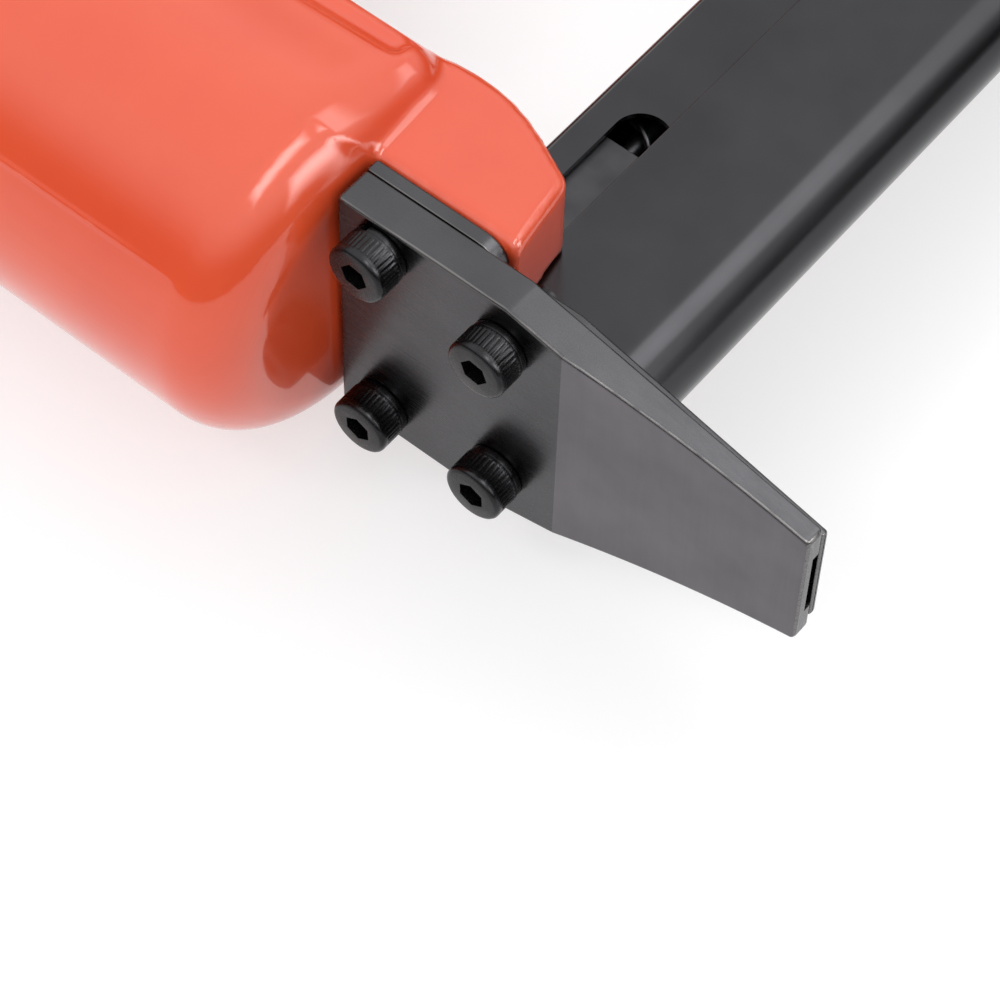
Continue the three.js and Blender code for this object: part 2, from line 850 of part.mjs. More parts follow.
// The guide plate closes the driver's groove from behind: a thin wide top, and a thicker tongue that
// tapers in width and in thickness to the tip, with the window that the staples come through.
function guidePlate() {
  const back = guideFront + tongueThickness;
  const top = barX(
    outline(
      [
        [-plateHalfWidth, 0],
        [-plateHalfWidth, -guideDrop, guideCornerRadius],
        [plateHalfWidth, -guideDrop, guideCornerRadius],
        [plateHalfWidth, 0],
      ],
      5,
    ),
    guideFront,
    guideFront + guideThickness,
  );
  const sides = [
    [tongueHalfWidth, -tongueShoulderDrop],
    [tongueTipHalfWidth, -noseLength],
    [-tongueTipHalfWidth, -noseLength],
    [-tongueHalfWidth, -tongueShoulderDrop],
  ];
  const thinTongue = barX(
    outline([[-tongueHalfWidth, -upperScrewDrop], [tongueHalfWidth, -upperScrewDrop], ...sides]),
    guideFront,
    guideFront + guideThickness,
  );
  const tongueTop = -lugDrop - runningGap;
  const tongue = barX(
    outline([[-tongueHalfWidth, tongueTop], [tongueHalfWidth, tongueTop], ...sides]),
    guideFront,
    back,
  );
  const taper = slab(
    outline([
      [back, -tongueShoulderDrop],
      [guideFront + tongueTipThickness, -noseLength],
      [guideFront + tongueTipThickness, -noseLength - cutOverrun],
      [back + cutOverrun, -noseLength - cutOverrun],
      [back + cutOverrun, -tongueShoulderDrop],
    ]),
    -plateHalfWidth,
    plateHalfWidth,
  );
  const window = block(
    [guideFront - cutOverrun, -stapleWindowBottom, -slotHalfWidth],
    [back + cutOverrun, -stapleWindowTop, slotHalfWidth],
  );
  return cut(join([top, thinTongue, tongue]), [taper, window, ...plateHoles(runningGap / 2)]);
}

function springWasher(turn) {
  const whole = ring(screwShankRadius + runningGap, washerRadius, 0, washerThickness, plainSteps, "x");
  const split = block(
    [-cutOverrun, 0, -washerSplit / 2],
    [washerThickness + cutOverrun, washerRadius + cutOverrun, washerSplit / 2],
  );
  return whole.subtract(split.rotate([turn, 0, 0]));
}

add(nose, "front_nose_plate", frontNosePlate(), "blackSteel");
add(nose, "guide_plate", guidePlate(), "blackSteel");
const washerTurns = [35, 150, 255, 80];
nosePlaces.forEach(({ name, y, z, length }, i) => {
  const screw = socketScrew({
    headRadius: screwHeadRadius,
    headHeight: screwHeadHeight,
    shankRadius: screwShankRadius,
    length: length + washerStack,
    acrossFlats: socketAcrossFlats,
    depth: socketDepth,
  });
  add(nose, `nose_screw_${name}`, screw, "blackScrew", -washerStack, y, z);
  add(nose, `spring_washer_${name}`, springWasher(washerTurns[i]), "blackScrew", faceGap - washerStack, y, z);
});

// Cylinder: sleeve, bumper, piston with its driver, and head valve

// An O-ring in a groove cut into a round piece, with a little room to the bore that it seals.
function grooveRing(pieceRadius, grooveDepth, boreRadius, place) {
  const inner = pieceRadius - grooveDepth + runningGap / 2;
  const outer = boreRadius - runningGap / 2;
  return oRing((inner + outer) / 2, (outer - inner) / 2, place, plainSteps);
}

const collarGrooveY = collarY + (collarHeight - collarGrooveWidth) / 2;

function cylinderSleeve() {
  const foot = floorTop + faceGap;
  const grooveRadius = seatRadius - collarGrooveDepth;
  const profile = [
    [sleeveBoreRadius, foot],
    [seatRadius, foot],
    [seatRadius, foot + sleeveFlange],
    [sleeveRadius, foot + sleeveFlange],
    [sleeveRadius, collarY],
    [seatRadius, collarY],
    [seatRadius, collarGrooveY],
    [grooveRadius, collarGrooveY],
    [grooveRadius, collarGrooveY + collarGrooveWidth],
    [seatRadius, collarGrooveY + collarGrooveWidth],
    [seatRadius, collarY + collarHeight],
    [sleeveRadius, collarY + collarHeight],
    [sleeveRadius, housingTop],
    [sleeveBoreRadius, housingTop],
    [sleeveBoreRadius, foot],
  ];
  const ports = [returnHoleY, lowerHoleY].flatMap((y) =>
    Array.from({ length: returnHoles }, (_, k) =>
      rod(returnHoleRadius, 0, housingRadius, smallSteps / 2, "x")
        .rotate([0, (360 * k) / returnHoles, 0])
        .translate([0, y, 0]),
    ),
  );
  return cut(turned(profile, plainSteps), ports);
}

function bumper() {
  const outer = sleeveBoreRadius - runningGap;
  const foot = floorTop + faceGap;
  const profile = [
    [bumperHoleRadius, foot],
    [outer, foot],
    [outer - bumperWaist, foot + bumperHeight / 2],
    [outer, bumperTop],
    [bumperHoleRadius, bumperTop],
    [bumperHoleRadius, foot],
  ];
  return turned(profile, plainSteps);
}

const driverPinY = pistonRest + driverSeat / 2;

function piston() {
  const top = pistonRest + pistonHeight;
  const groove = pistonRest + pistonGrooveY;
  const profile = [
    [0, pistonRest],
    [pistonRadius, pistonRest],
    [pistonRadius, groove],
    [pistonRadius - pistonGrooveDepth, groove],
    [pistonRadius - pistonGrooveDepth, groove + pistonGrooveWidth],
    [pistonRadius, groove + pistonGrooveWidth],
    [pistonRadius, top],
    [pistonDishRadius, top],
    [pistonDishRadius - pistonDishDepth, top - pistonDishDepth],
    [0, top - pistonDishDepth],
  ];
  const slot = block(
    [-driverThickness / 2 - driverFaceGap, pistonRest - cutOverrun, -driverHalfWidth - slotSideGap],
    [driverThickness / 2 + driverFaceGap, pistonRest + driverSeat, driverHalfWidth + slotSideGap],
  );
  const pinHole = rod(
    driverPinRadius + runningGap / 2,
    -pistonRadius - cutOverrun,
    pistonRadius + cutOverrun,
    smallSteps,
    "x",
  );
  return cut(turned(profile, plainSteps), [slot, pinHole.translate([0, driverPinY, 0])]);
}

function driverBlade() {
  const blade = block(
    [-driverThickness / 2, driverRest, -driverHalfWidth],
    [driverThickness / 2, pistonRest + driverSeat - runningGap, driverHalfWidth],
  );
  const hole = rod(driverPinRadius + runningGap, -cutOverrun, cutOverrun, smallSteps, "x");
  return blade.subtract(hole.translate([0, driverPinY, 0]));
}

function headValve() {
  const profile = [
    [0, headValveRest],
    [headValveRadius, headValveRest],
    [headValveRadius, headValveTop],
    [headValveHubRadius, headValveTop],
    [headValveHubRadius, headValveTop + headValveHubHeight],
    [0, headValveTop + headValveHubHeight],
  ];
  return turned(profile, plainSteps);
}

function headValveSpring() {
  const length = capBottom + capCavityDepth - headValveTop - 2 * runningGap;
  const spring = helix("head_valve_spring", headSpringRadius, headSpringWire / 2, length, headSpringCurls);
  return spring.rotate([0, 0, 90]);
}

const collarRingY = collarGrooveY + collarGrooveWidth / 2;
const pistonRingY = pistonRest + pistonGrooveY + pistonGrooveWidth / 2;
const pistonPinHalf = pistonRadius - driverPinInset;
add(cylinder, "cylinder_sleeve", cylinderSleeve(), "aluminium");
add(
  cylinder,
  "sleeve_o_ring",
  grooveRing(seatRadius, collarGrooveDepth, housingBoreRadius, collarRingY),
  "rubber",
);
add(cylinder, "bumper", bumper(), "urethane");
add(cylinder, "piston", piston(), "aluminium");
add(
  cylinder,
  "piston_o_ring",
  grooveRing(pistonRadius, pistonGrooveDepth, sleeveBoreRadius, pistonRingY),
  "rubber",
);
add(cylinder, "driver_blade", driverBlade(), "brightSteel");
add(
  cylinder,
  "driver_pin",
  rod(driverPinRadius, -pistonPinHalf, pistonPinHalf, smallSteps, "x"),
  "brightSteel",
  0,
  driverPinY,
);
add(cylinder, "head_valve", headValve(), "blackPlastic");
add(cylinder, "head_valve_spring", headValveSpring(), "brightSteel", 0, headValveTop + runningGap);

// Cylinder cap: gasket, cap, its four screws, and the exhaust deflector that turns on it

function capScrewHoles(low, high) {
  return capScrewPlaces.map(([x, z]) =>
    rod(capScrewShankRadius + runningGap / 2, low - cutOverrun, high + cutOverrun, smallSteps)
      .translate([x, 0, z]),
  );
}

function capGasket() {
  const low = housingTop + faceGap;
  const sheet = barY(flangeSection, low, low + gasketThickness);
  const middle = rod(housingBoreRadius, low - cutOverrun, low + gasketThickness + cutOverrun, plainSteps);
  return cut(sheet, [middle, ...capScrewHoles(low, low + gasketThickness)]);
}

function cylinderCap() {
  const shoulder = capBottom + capHeight;
  const base = barY(flangeSection, capBottom, shoulder, lugEdge, 1);
  const dome = turned(
    [
      [0, shoulder - capDomeEdge],
      [capDomeRadius, shoulder - capDomeEdge],
      [capDomeRadius, capTop - capDomeEdge],
      [capDomeRadius - capDomeEdge, capTop],
      [0, capTop],
    ],
    fineSteps,
  );
  const cavity = rod(capCavityRadius, capBottom - cutOverrun, capBottom + capCavityDepth, plainSteps);
  const screwHole = rod(
    deflectorScrewRadius + runningGap / 2,
    capTop - deflectorScrewDepth - runningGap,
    capTop + cutOverrun,
    smallSteps,
  );
  const exhausts = Array.from({ length: exhaustHoles }, (_, k) =>
    rod(exhaustHoleRadius, capBottom + capHeight / 2, capTop + cutOverrun, smallSteps)
      .translate([exhaustHoleSpread, 0, 0])
      .rotate([0, (360 * (k + 1 / 2)) / exhaustHoles, 0]),
  );
  return cut(join([base, dome]), [cavity, screwHole, ...exhausts, ...capScrewHoles(capBottom, shoulder)]);
}

function capScrew() {
  return socketScrew({
    headRadius: capHeadRadius,
    headHeight: capHeadHeight,
    shankRadius: capScrewShankRadius,
    length: capHeight + capBottom - housingTop + capScrewDepth - runningGap,
    acrossFlats: capSocketAcrossFlats,
    depth: capSocketDepth,
  }).rotate([0, 0, -90]);
}

function exhaustDeflector() {
  const hole = deflectorScrewRadius + runningGap / 2;
  const inner = deflectorRadius - deflectorWall;
  const roof = deflectorHeight - deflectorWall;
  const cup = turned(
    [
      [hole, 0],
      [deflectorHubRadius, 0],
      [deflectorHubRadius, roof],
      [inner, roof],
      [inner, 0],
      [deflectorRadius, 0],
      [deflectorRadius, deflectorHeight - deflectorEdge],
      [deflectorRadius - deflectorEdge, deflectorHeight],
      [hole, deflectorHeight],
      [hole, 0],
    ],
    fineSteps,
  );
  const mouth = block(
    [-deflectorRadius - cutOverrun, -cutOverrun, -deflectorMouthWidth / 2],
    [-deflectorHubRadius - cutOverrun, roof, deflectorMouthWidth / 2],
  );
  return cup.subtract(mouth);
}

function deflectorScrew() {
  return socketScrew({
    headRadius: deflectorHeadRadius,
    headHeight: deflectorHeadHeight,
    shankRadius: deflectorScrewRadius,
    length: deflectorHeight + deflectorScrewDepth,
    acrossFlats: socketAcrossFlats,
    depth: deflectorSocketDepth,
  }).rotate([0, 0, -90]);
}

add(cylinder, "cap_gasket", capGasket(), "gasket");
add(cylinder, "cylinder_cap", cylinderCap(), "blackCast");
capScrewPlaces.forEach(([x, z], i) => {
  const seat = capBottom + capHeight + faceGap;
  add(cylinder, `cap_screw_${i + 1}`, capScrew(), "blackScrew", x, seat, z);
});
const deflectorSeat = capTop + faceGap;
const deflectorTop = deflectorSeat + deflectorHeight + faceGap;
add(cylinder, "exhaust_deflector", exhaustDeflector(), "blackPlastic", 0, deflectorSeat);
add(cylinder, "deflector_screw", deflectorScrew(), "blackScrew", 0, deflectorTop);

// Trigger, its pin, and the valve that it presses

const triggerGroup = new THREE.Group();
triggerGroup.position.set(triggerPivotX, triggerPivotY, 0);
stapler.add(triggerGroup);
const valve = new THREE.Group();
valve.position.x = valveX;
stapler.add(valve);

// The lever's outline about its pivot, as shares of its length and of its depth.
const triggerOutlineShares = [
  [0, 0.43],
  [0.14, 0.34],
  [0.45, 0.265],
  [0.59, 0.235],
  [0.72, 0.165],
  [0.98, -0.04],
  [1, -0.3],
  [0.7, -0.4],
  [0.42, -0.56],
  [0.2, -0.93],
  [0.05, -1],
  [-0.05, -0.8],
  [-0.15, 0],
];

function trigger() {
  const lever = slab(
    outline(triggerOutlineShares.map(([u, v]) => [u * triggerLength, v * triggerDepth])),
    -triggerHalfWidth,
    triggerHalfWidth,
    triggerEdge,
    2,
  );
  const boss = rod(triggerBossRadius, -triggerHalfWidth, triggerHalfWidth, plainSteps, "z");
  const reach = triggerHalfWidth + cutOverrun;
  const hole = rod(triggerPinRadius + runningGap, -reach, reach, smallSteps, "z");
  return join([lever, boss]).subtract(hole);
}

function triggerValveBody() {
  const low = handleRootY;
  const groove = low + valveGrooveY;
  const grooveRadius = valveBodyRadius - valveGrooveDepth;
  const stemHole = stemRadius + runningGap;
  const profile = [
    [0, valveBoreTop],
    [valveBoreRadius, valveBoreTop],
    [valveBoreRadius, stemStepY],
    [stemHole, stemStepY],
    [stemHole, low],
    [valveFlangeRadius, low],
    [valveFlangeRadius, low + valveFlangeHeight],
    [valveBodyRadius, low + valveFlangeHeight],
    [valveBodyRadius, groove],
    [grooveRadius, groove],
    [grooveRadius, groove + valveGrooveWidth],
    [valveBodyRadius, groove + valveGrooveWidth],
    [valveBodyRadius, valveBodyTop],
    [0, valveBodyTop],
  ];
  const reach = valveBodyRadius + cutOverrun;
  const port = rod(valvePortRadius, -reach, reach, smallSteps, "x").translate([0, valvePortY, 0]);
  return turned(profile, plainSteps).subtract(port);
}

function valveStem() {
  return turned(
    [
      [0, stemTipY],
      [stemRadius - stemTipChamfer, stemTipY],
      [stemRadius, stemTipY + stemTipChamfer],
      [stemRadius, stemShoulderY],
      [stemCollarRadius, stemShoulderY],
      [stemCollarRadius, stemShoulderY + stemCollarHeight],
      [stemPinRadius, stemShoulderY + stemCollarHeight],
      [stemPinRadius, stemShoulderY + stemCollarHeight + stemPinHeight],
      [0, stemShoulderY + stemCollarHeight + stemPinHeight],
    ],
    smallSteps,
  );
}

const stemSpringLow = stemShoulderY + stemCollarHeight + runningGap;
const stemSpringLength = valveBoreTop - runningGap - stemSpringLow;
const stemSpring = helix(
  "stem_spring",
  stemSpringRadius,
  stemSpringWire / 2,
  stemSpringLength,
  stemSpringCurls,
);
const triggerPinHalf = earLow + earThickness + triggerPinOverhang;
const valveRingY = handleRootY + valveGrooveY + valveGrooveWidth / 2;
add(triggerGroup, "trigger", trigger(), "blackPlastic");
add(
  triggerGroup,
  "trigger_pin",
  rod(triggerPinRadius, -triggerPinHalf, triggerPinHalf, smallSteps, "z"),
  "brightSteel",
);
add(valve, "trigger_valve_body", triggerValveBody(), "brass");
add(
  valve,
  "valve_o_ring",
  grooveRing(valveBodyRadius, valveGrooveDepth, valveBodyRadius + runningGap / 2, valveRingY),
  "rubber",
);
add(valve, "valve_stem", valveStem(), "brightSteel");
add(valve, "stem_spring", stemSpring.rotate([0, 0, 90]), "brightSteel", 0, stemSpringLow);

// Handle's end: end cap, its screws, the rubber guard round it and the air plug

const inlet = new THREE.Group();
inlet.position.y = chamberY;
stapler.add(inlet);

// A square section with rounded corners, about the air chamber's axis.
function squareSection(half, corner) {
  return outline(
    [
      [-half, -half, corner],
      [half, -half, corner],
      [half, half, corner],
      [-half, half, corner],
    ],
    5,
  );
}

function rearEndCap() {
  const plate = barX(squareSection(flangeHalf, flangeCorner), endCapFront, endCapBack, lugEdge, 1);
  const boss = rod(
    endCapBossRadius,
    endCapBack - cutOverrun,
    endCapBack + endCapBossLength,
    plainSteps,
    "x",
  );
  const bore = rod(
    inletBoreRadius,
    endCapFront - cutOverrun,
    endCapBack + endCapBossLength + cutOverrun,
    plainSteps,
    "x",
  );
  const holes = endScrewPlaces.map(([z, y]) =>
    rod(
      screwShankRadius + runningGap / 2,
      endCapFront - cutOverrun,
      endCapBack + cutOverrun,
      smallSteps,
      "x",
    ).translate([0, y, z]),
  );
  return cut(join([plate, boss]), [bore, ...holes]);
}

function endCapScrew() {
  return socketScrew({
    headRadius: screwHeadRadius,
    headHeight: screwHeadHeight,
    shankRadius: screwShankRadius,
    length: endCapBack + faceGap - handleEnd + endScrewDepth,
    acrossFlats: socketAcrossFlats,
    depth: socketDepth,
  }).rotate([0, 0, 180]);
}

// A soft rubber frame pushed over the end cap. The tool lies on it and on the cylinder.
function rearGuard() {
  const low = handleEnd + runningGap;
  const frame = barX(squareSection(housingRadius, guardCorner), low, endCapBack, guardEdge, 2);
  const hole = barX(
    squareSection(flangeHalf + runningGap, flangeCorner),
    low - cutOverrun,
    endCapBack + cutOverrun,
  );
  return frame.subtract(hole);
}

function airPlug() {
  const noseStart = plugLength - plugNoseLength;
  const neckStart = noseStart - plugNeckLength;
  const profile = [
    [plugBoreRadius, -plugThreadLength],
    [plugThreadRadius, -plugThreadLength],
    [plugThreadRadius, plugHexLength],
    [plugShankRadius, plugHexLength + screwChamfer],
    [plugShankRadius, neckStart - screwChamfer],
    [plugNeckRadius, neckStart],
    [plugNeckRadius, noseStart],
    [plugShankRadius, noseStart + screwChamfer],
    [plugNeckRadius, plugLength],
    [plugBoreRadius, plugLength],
    [plugBoreRadius, -plugThreadLength],
  ];
  const hex = barX(hexagon(plugHexAcrossFlats), 0, plugHexLength);
  const bore = rod(plugBoreRadius, -plugThreadLength, plugLength, plainSteps, "x");
  return turned(profile, plainSteps, "x").add(hex.subtract(bore));
}

add(inlet, "rear_end_cap", rearEndCap(), "blackCast");
endScrewPlaces.forEach(([z, y], i) => {
  add(inlet, `end_cap_screw_${i + 1}`, endCapScrew(), "blackScrew", endCapBack + faceGap, y, z);
});
add(inlet, "rear_guard", rearGuard(), "rubber");
add(inlet, "air_plug", airPlug(), "brightSteel", plugSeat);

// Magazine: fixed rail, sliding cover with its staple guide, pusher with its spring and rod

const magazine = new THREE.Group();
stapler.add(magazine);

// An upside-down channel of sheet metal along X.
function topChannel(halfWidth, sheet, topDrop, bottomDrop, xLow, xHigh) {
  const inside = halfWidth - sheet;
  const shape = outline([
    [-halfWidth, -bottomDrop],
    [-halfWidth, -topDrop],
    [halfWidth, -topDrop],
    [halfWidth, -bottomDrop],
    [inside, -bottomDrop],
    [inside, -topDrop - sheet],
    [-inside, -topDrop - sheet],
    [-inside, -bottomDrop],
  ]);
  return barX(shape, xLow, xHigh);
}

function magazineRail() {
  const rail = topChannel(railHalfWidth, railSheet, railTopDrop, railSkirtDrop, magazineFront, railEnd);
  const half = windowHeight / 2;
  const middle = -windowTopDrop - half;
  const endSteps = 8;
  const roundEnd = Array.from({ length: endSteps + 1 }, (_, k) => {
    const a = Math.PI * (k / endSteps - 1 / 2);
    return [windowEnd - half + half * Math.cos(a), middle + half * Math.sin(a)];
  });
  const window = slab(
    outline([[windowStart, middle - half], ...roundEnd, [windowStart, middle + half]]),
    -railHalfWidth - cutOverrun,
    railHalfWidth + cutOverrun,
  );
  const hole = rod(
    footScrewRadius + runningGap / 2,
    -railTopDrop - railSheet - cutOverrun,
    cutOverrun - railTopDrop,
    smallSteps,
  );
  return cut(rail, [window, hole.translate([footScrewX, 0, 0])]);
}

// A channel with an open top and a fully rounded bottom, as a solid bar.
function roundChannel(halfWidth, topY, xLow, xHigh) {
  const steps = 12;
  const bottom = Array.from({ length: steps + 1 }, (_, k) => {
    const a = Math.PI * (1 + k / steps);
    return [halfWidth * Math.cos(a), halfWidth * Math.sin(a) - coverRoundDrop];
  });
  return barX(outline([[halfWidth, topY], [-halfWidth, topY], ...bottom]), xLow, xHigh);
}

const coverInside = coverHalfWidth - coverSheet;

function magazineCover() {
  const outside = roundChannel(coverHalfWidth, -coverTopDrop, magazineFront, coverEnd);
  const inside = roundChannel(
    coverInside,
    cutOverrun - coverTopDrop,
    magazineFront - cutOverrun,
    coverEnd + cutOverrun,
  );
  return outside.subtract(inside);
}

// The fin that the staples straddle stands on the cover's rounded floor.
const stapleGuideSeat = Math.sqrt(coverInside ** 2 - stapleGuideHalfWidth ** 2);
const stapleGuideFloor = coverRoundDrop + stapleGuideSeat - runningGap;

function pusher() {
  const saddle = block(
    [pusherFront, -stapleGuideTopDrop + runningGap, -pusherHalfWidth],
    [pusherBack, -pusherTopDrop, pusherHalfWidth],
  );
  const legInside = stapleGuideHalfWidth + runningGap;
  const legs = [
    [-pusherHalfWidth, -legInside],
    [legInside, pusherHalfWidth],
  ].map(([zLow, zHigh]) =>
    block([pusherFront, -pusherLegDrop, zLow], [pusherBack, -pusherTopDrop, zHigh]),
  );
  const hole = rod(
    rodRadius + runningGap,
    pusherFront - cutOverrun,
    pusherBack + cutOverrun,
    smallSteps,
    "x",
  );
  return join([saddle, ...legs]).subtract(hole.translate([0, -rodDrop, 0]));
}

function endBlock() {
  const half = railHalfWidth - railSheet - faceGap;
  const body = block(
    [endBlockFront, -endBlockBottomDrop, -half],
    [railEnd, -railTopDrop - railSheet - faceGap, half],
  );
  const rodHole = rod(
    rodRadius + runningGap / 2,
    endBlockFront - cutOverrun,
    endBlockFront + rodSeat + runningGap,
    smallSteps,
    "x",
  );
  const screwHole = rod(
    footScrewRadius + runningGap / 2,
    -railTopDrop - footScrewDepth - runningGap,
    cutOverrun - railTopDrop,
    smallSteps,
  );
  return cut(body, [
    rodHole.translate([0, -rodDrop, 0]),
    screwHole.translate([footScrewX, 0, 0]),
  ]);
}

const pusherSpringLow = pusherBack + runningGap;
const pusherSpring = helix(
  "pusher_spring",
  pusherSpringRadius,
  pusherSpringWire / 2,
  endBlockFront - runningGap - pusherSpringLow,
  pusherSpringCurls,
);
add(magazine, "magazine_rail", magazineRail(), "blackSteel");
add(magazine, "magazine_cover", magazineCover(), "blackSteel");
add(
  magazine,
  "staple_guide",
  topChannel(
    stapleGuideHalfWidth,
    stapleGuideSheet,
    stapleGuideTopDrop,
    stapleGuideFloor,
    magazineFront,
    stapleGuideEnd,
  ),
  "brightSteel",
);
add(magazine, "pusher", pusher(), "brightSteel");
add(
  magazine,
  "pusher_rod",
  rod(rodRadius, pusherFront + rodInset, endBlockFront + rodSeat, smallSteps, "x"),
  "brightSteel",
  0,
  -rodDrop,
);
add(magazine, "pusher_spring", pusherSpring, "brightSteel", pusherSpringLow, -rodDrop);
add(magazine, "magazine_end_block", endBlock(), "blackCast");

// Grip on the cover's end, with the latch that holds the cover shut

const latchPivotY = -latchPivotDrop;
const latchGroup = new THREE.Group();
latchGroup.position.set(latchPivotX, latchPivotY, 0);
magazine.add(latchGroup);
const latchEarLow = latchHalfWidth + runningGap;

function coverGrip() {
  const body = slab(
    outline(
      [
        [gripBlockFront, -gripBlockTopDrop],
        [gripBlockFront, -gripBlockBottomDrop],
        [gripBlockFront + gripBlockLength, -gripBlockBottomDrop, gripBlockCorner],
        [gripBlockFront + gripBlockLength, -gripBlockTopDrop],
      ],
      4,
    ),
    -gripBlockHalfWidth,
    gripBlockHalfWidth,
    lugEdge,
    1,
  );
  const ears = [1, -1].map((side) => {
    const shape = outline(
      [
        [latchPivotX - latchEarRadius, -gripBlockTopDrop - lugEdge],
        [latchPivotX - latchEarRadius, latchPivotY + latchEarRadius, latchEarRadius - runningGap],
        [latchPivotX + latchEarRadius, latchPivotY + latchEarRadius, latchEarRadius - runningGap],
        [latchPivotX + latchEarRadius, -gripBlockTopDrop - lugEdge],
      ],
      4,
    );
    const places = [side * latchEarLow, side * (latchEarLow + latchEarThickness)];
    return slab(shape, ...places.sort((a, b) => a - b));
  });
  const reach = gripBlockHalfWidth + cutOverrun;
  const hole = rod(latchPinRadius + runningGap / 2, -reach, reach, smallSteps, "z");
  return cut(join([body, ...ears]), [hole.translate([latchPivotX, latchPivotY, 0])]);
}

// The latch lever about its pivot: a nose forward over the rail, a boss and a tail to press.
const latchFloor = latchPivotDrop - railTopDrop + runningGap;

function latchLever() {
  const roof = latchFloor + latchThickness;
  const tailStart = latchSpringBack + latchSpringRadius + runningGap;
  const plate = slab(
    outline([
      [-latchNoseReach, latchFloor],
      [tailStart, latchFloor],
      [latchTailReach, latchFloor + latchTailRise],
      [latchTailReach, roof + latchTailRise],
      [tailStart, roof],
      [-latchBossRadius, roof],
      [-latchNoseReach, roof - screwChamfer],
    ]),
    -latchHalfWidth,
    latchHalfWidth,
  );
  const neck = slab(
    outline([
      [-latchBossRadius, 0],
      [latchBossRadius, 0],
      [latchBossRadius, roof],
      [-latchBossRadius, roof],
    ]),
    -latchHalfWidth,
    latchHalfWidth,
  );
  const boss = rod(latchBossRadius, -latchHalfWidth, latchHalfWidth, plainSteps, "z");
  const reach = latchHalfWidth + cutOverrun;
  const hole = rod(latchPinRadius + runningGap, -reach, reach, smallSteps, "z");
  return join([plate, neck, boss]).subtract(hole);
}

const latchSpringLow = runningGap - gripBlockTopDrop;
const latchTailUnder = latchPivotY + latchFloor;
const latchSpring = helix(
  "latch_spring",
  latchSpringRadius,
  latchSpringWire / 2,
  latchTailUnder - runningGap - latchSpringLow,
  latchSpringCurls,
);
const latchPinHalf = latchEarLow + latchEarThickness + latchPinOverhang;
add(magazine, "cover_grip", coverGrip(), "blackCast");
add(latchGroup, "latch_lever", latchLever(), "blackSteel");
add(
  latchGroup,
  "latch_pin",
  rod(latchPinRadius, -latchPinHalf, latchPinHalf, smallSteps, "z"),
  "brightSteel",
);
add(
  magazine,
  "latch_spring",
  latchSpring.rotate([0, 0, 90]),
  "brightSteel",
  latchPivotX + latchSpringBack,
  latchSpringLow,
);

// Hanger bracket that carries the magazine's far end from the handle's flange, and its screws

const bracketTop = flangeBottomY - faceGap;
const bracketBase = faceGap - railTopDrop;

function hangerBracket() {
  const back = handleEnd;
  const front = back - bracketThickness;
  const outerBend = bracketBend + bracketThickness;
  const strip = slab(
    outline(
      [
        [back - bracketFootLength, bracketTop],
        [back, bracketTop, outerBend],
        [back, bracketBase + bracketThickness, bracketBend],
        [front + bracketToeLength, bracketBase + bracketThickness],
        [front + bracketToeLength, bracketBase],
        [front, bracketBase, outerBend],
        [front, bracketTop - bracketThickness, bracketBend],
        [back - bracketFootLength, bracketTop - bracketThickness],
      ],
      4,
    ),
    -bracketHalfWidth,
    bracketHalfWidth,
  );
  const upper = bracketScrewPlaces.map(([x, z]) =>
    rod(
      footScrewRadius + runningGap / 2,
      bracketTop - bracketThickness - cutOverrun,
      bracketTop + cutOverrun,
      smallSteps,
    ).translate([x, 0, z]),
  );
  const lower = rod(
    footScrewRadius + runningGap / 2,
    bracketBase - cutOverrun,
    bracketBase + bracketThickness + cutOverrun,
    smallSteps,
  );
  return cut(strip, [...upper, lower.translate([footScrewX, 0, 0])]);
}

function bracketScrew(length) {
  return socketScrew({
    headRadius: footHeadRadius,
    headHeight: footHeadHeight,
    shankRadius: footScrewRadius,
    length,
    acrossFlats: footSocketAcrossFlats,
    depth: footSocketDepth,
  });
}

add(stapler, "hanger_bracket", hangerBracket(), "blackSteel");
bracketScrewPlaces.forEach(([x, z], i) => {
  const seat = bracketTop - bracketThickness - faceGap;
  const screw = bracketScrew(flangeBottomY + bracketScrewDepth - seat).rotate([0, 0, 90]);
  add(stapler, `bracket_screw_${i + 1}`, screw, "blackScrew", x, seat, z);
});
const footSeat = bracketBase + bracketThickness + faceGap;
add(
  magazine,
  "magazine_screw",
  bracketScrew(footSeat + railTopDrop + footScrewDepth).rotate([0, 0, -90]),
  "blackScrew",
  footScrewX,
  footSeat,
);

// The whole tool, moved so that its origin is the middle of its footprint on the floor that it lies on

const part = new THREE.Group();
part.add(stapler);
const box = new THREE.Box3().setFromObject(stapler);
const centre = box.getCenter(new THREE.Vector3());
stapler.position.set(-centre.x, -centre.y, -box.min.z);
part.updateMatrixWorld(true);

// Where the moving pieces turn and how far they travel, in the part's own frame
const joints = {
  trigger: [triggerPivotX, triggerPivotY],
  latch: [latchPivotX, latchPivotY],
  driver: [axisX, driverPinY],
  head_valve: [axisX, headValveTop],
  deflector: [axisX, deflectorSeat],
  valve_stem: [valveX, stemTipY],
};
for (const [name, [x, y]] of Object.entries(joints)) {
  const place = [x - centre.x, y - centre.y, -box.min.z].map((value) => value.toFixed(3));
  console.log(`${name} is at ${place.join(", ")} mm`);
}
const pusherTravel = endBlockFront - pusherBack - 2 * pusherSpringCurls * pusherSpringWire;
const travels = {
  driver: driverStroke,
  head_valve: headValveLift,
  valve_stem: stemTravel,
  pusher: pusherTravel,
};
for (const [name, travel] of Object.entries(travels)) {
  console.log(`${name} travels ${travel.toFixed(3)} mm`);
}
console.log(`the frame's offset is ${[-centre.x, -centre.y, -box.min.z].join(", ")}`);

export default part;
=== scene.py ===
import math

import bmesh
import bpy
import numpy as np
from mathutils import Matrix, Vector


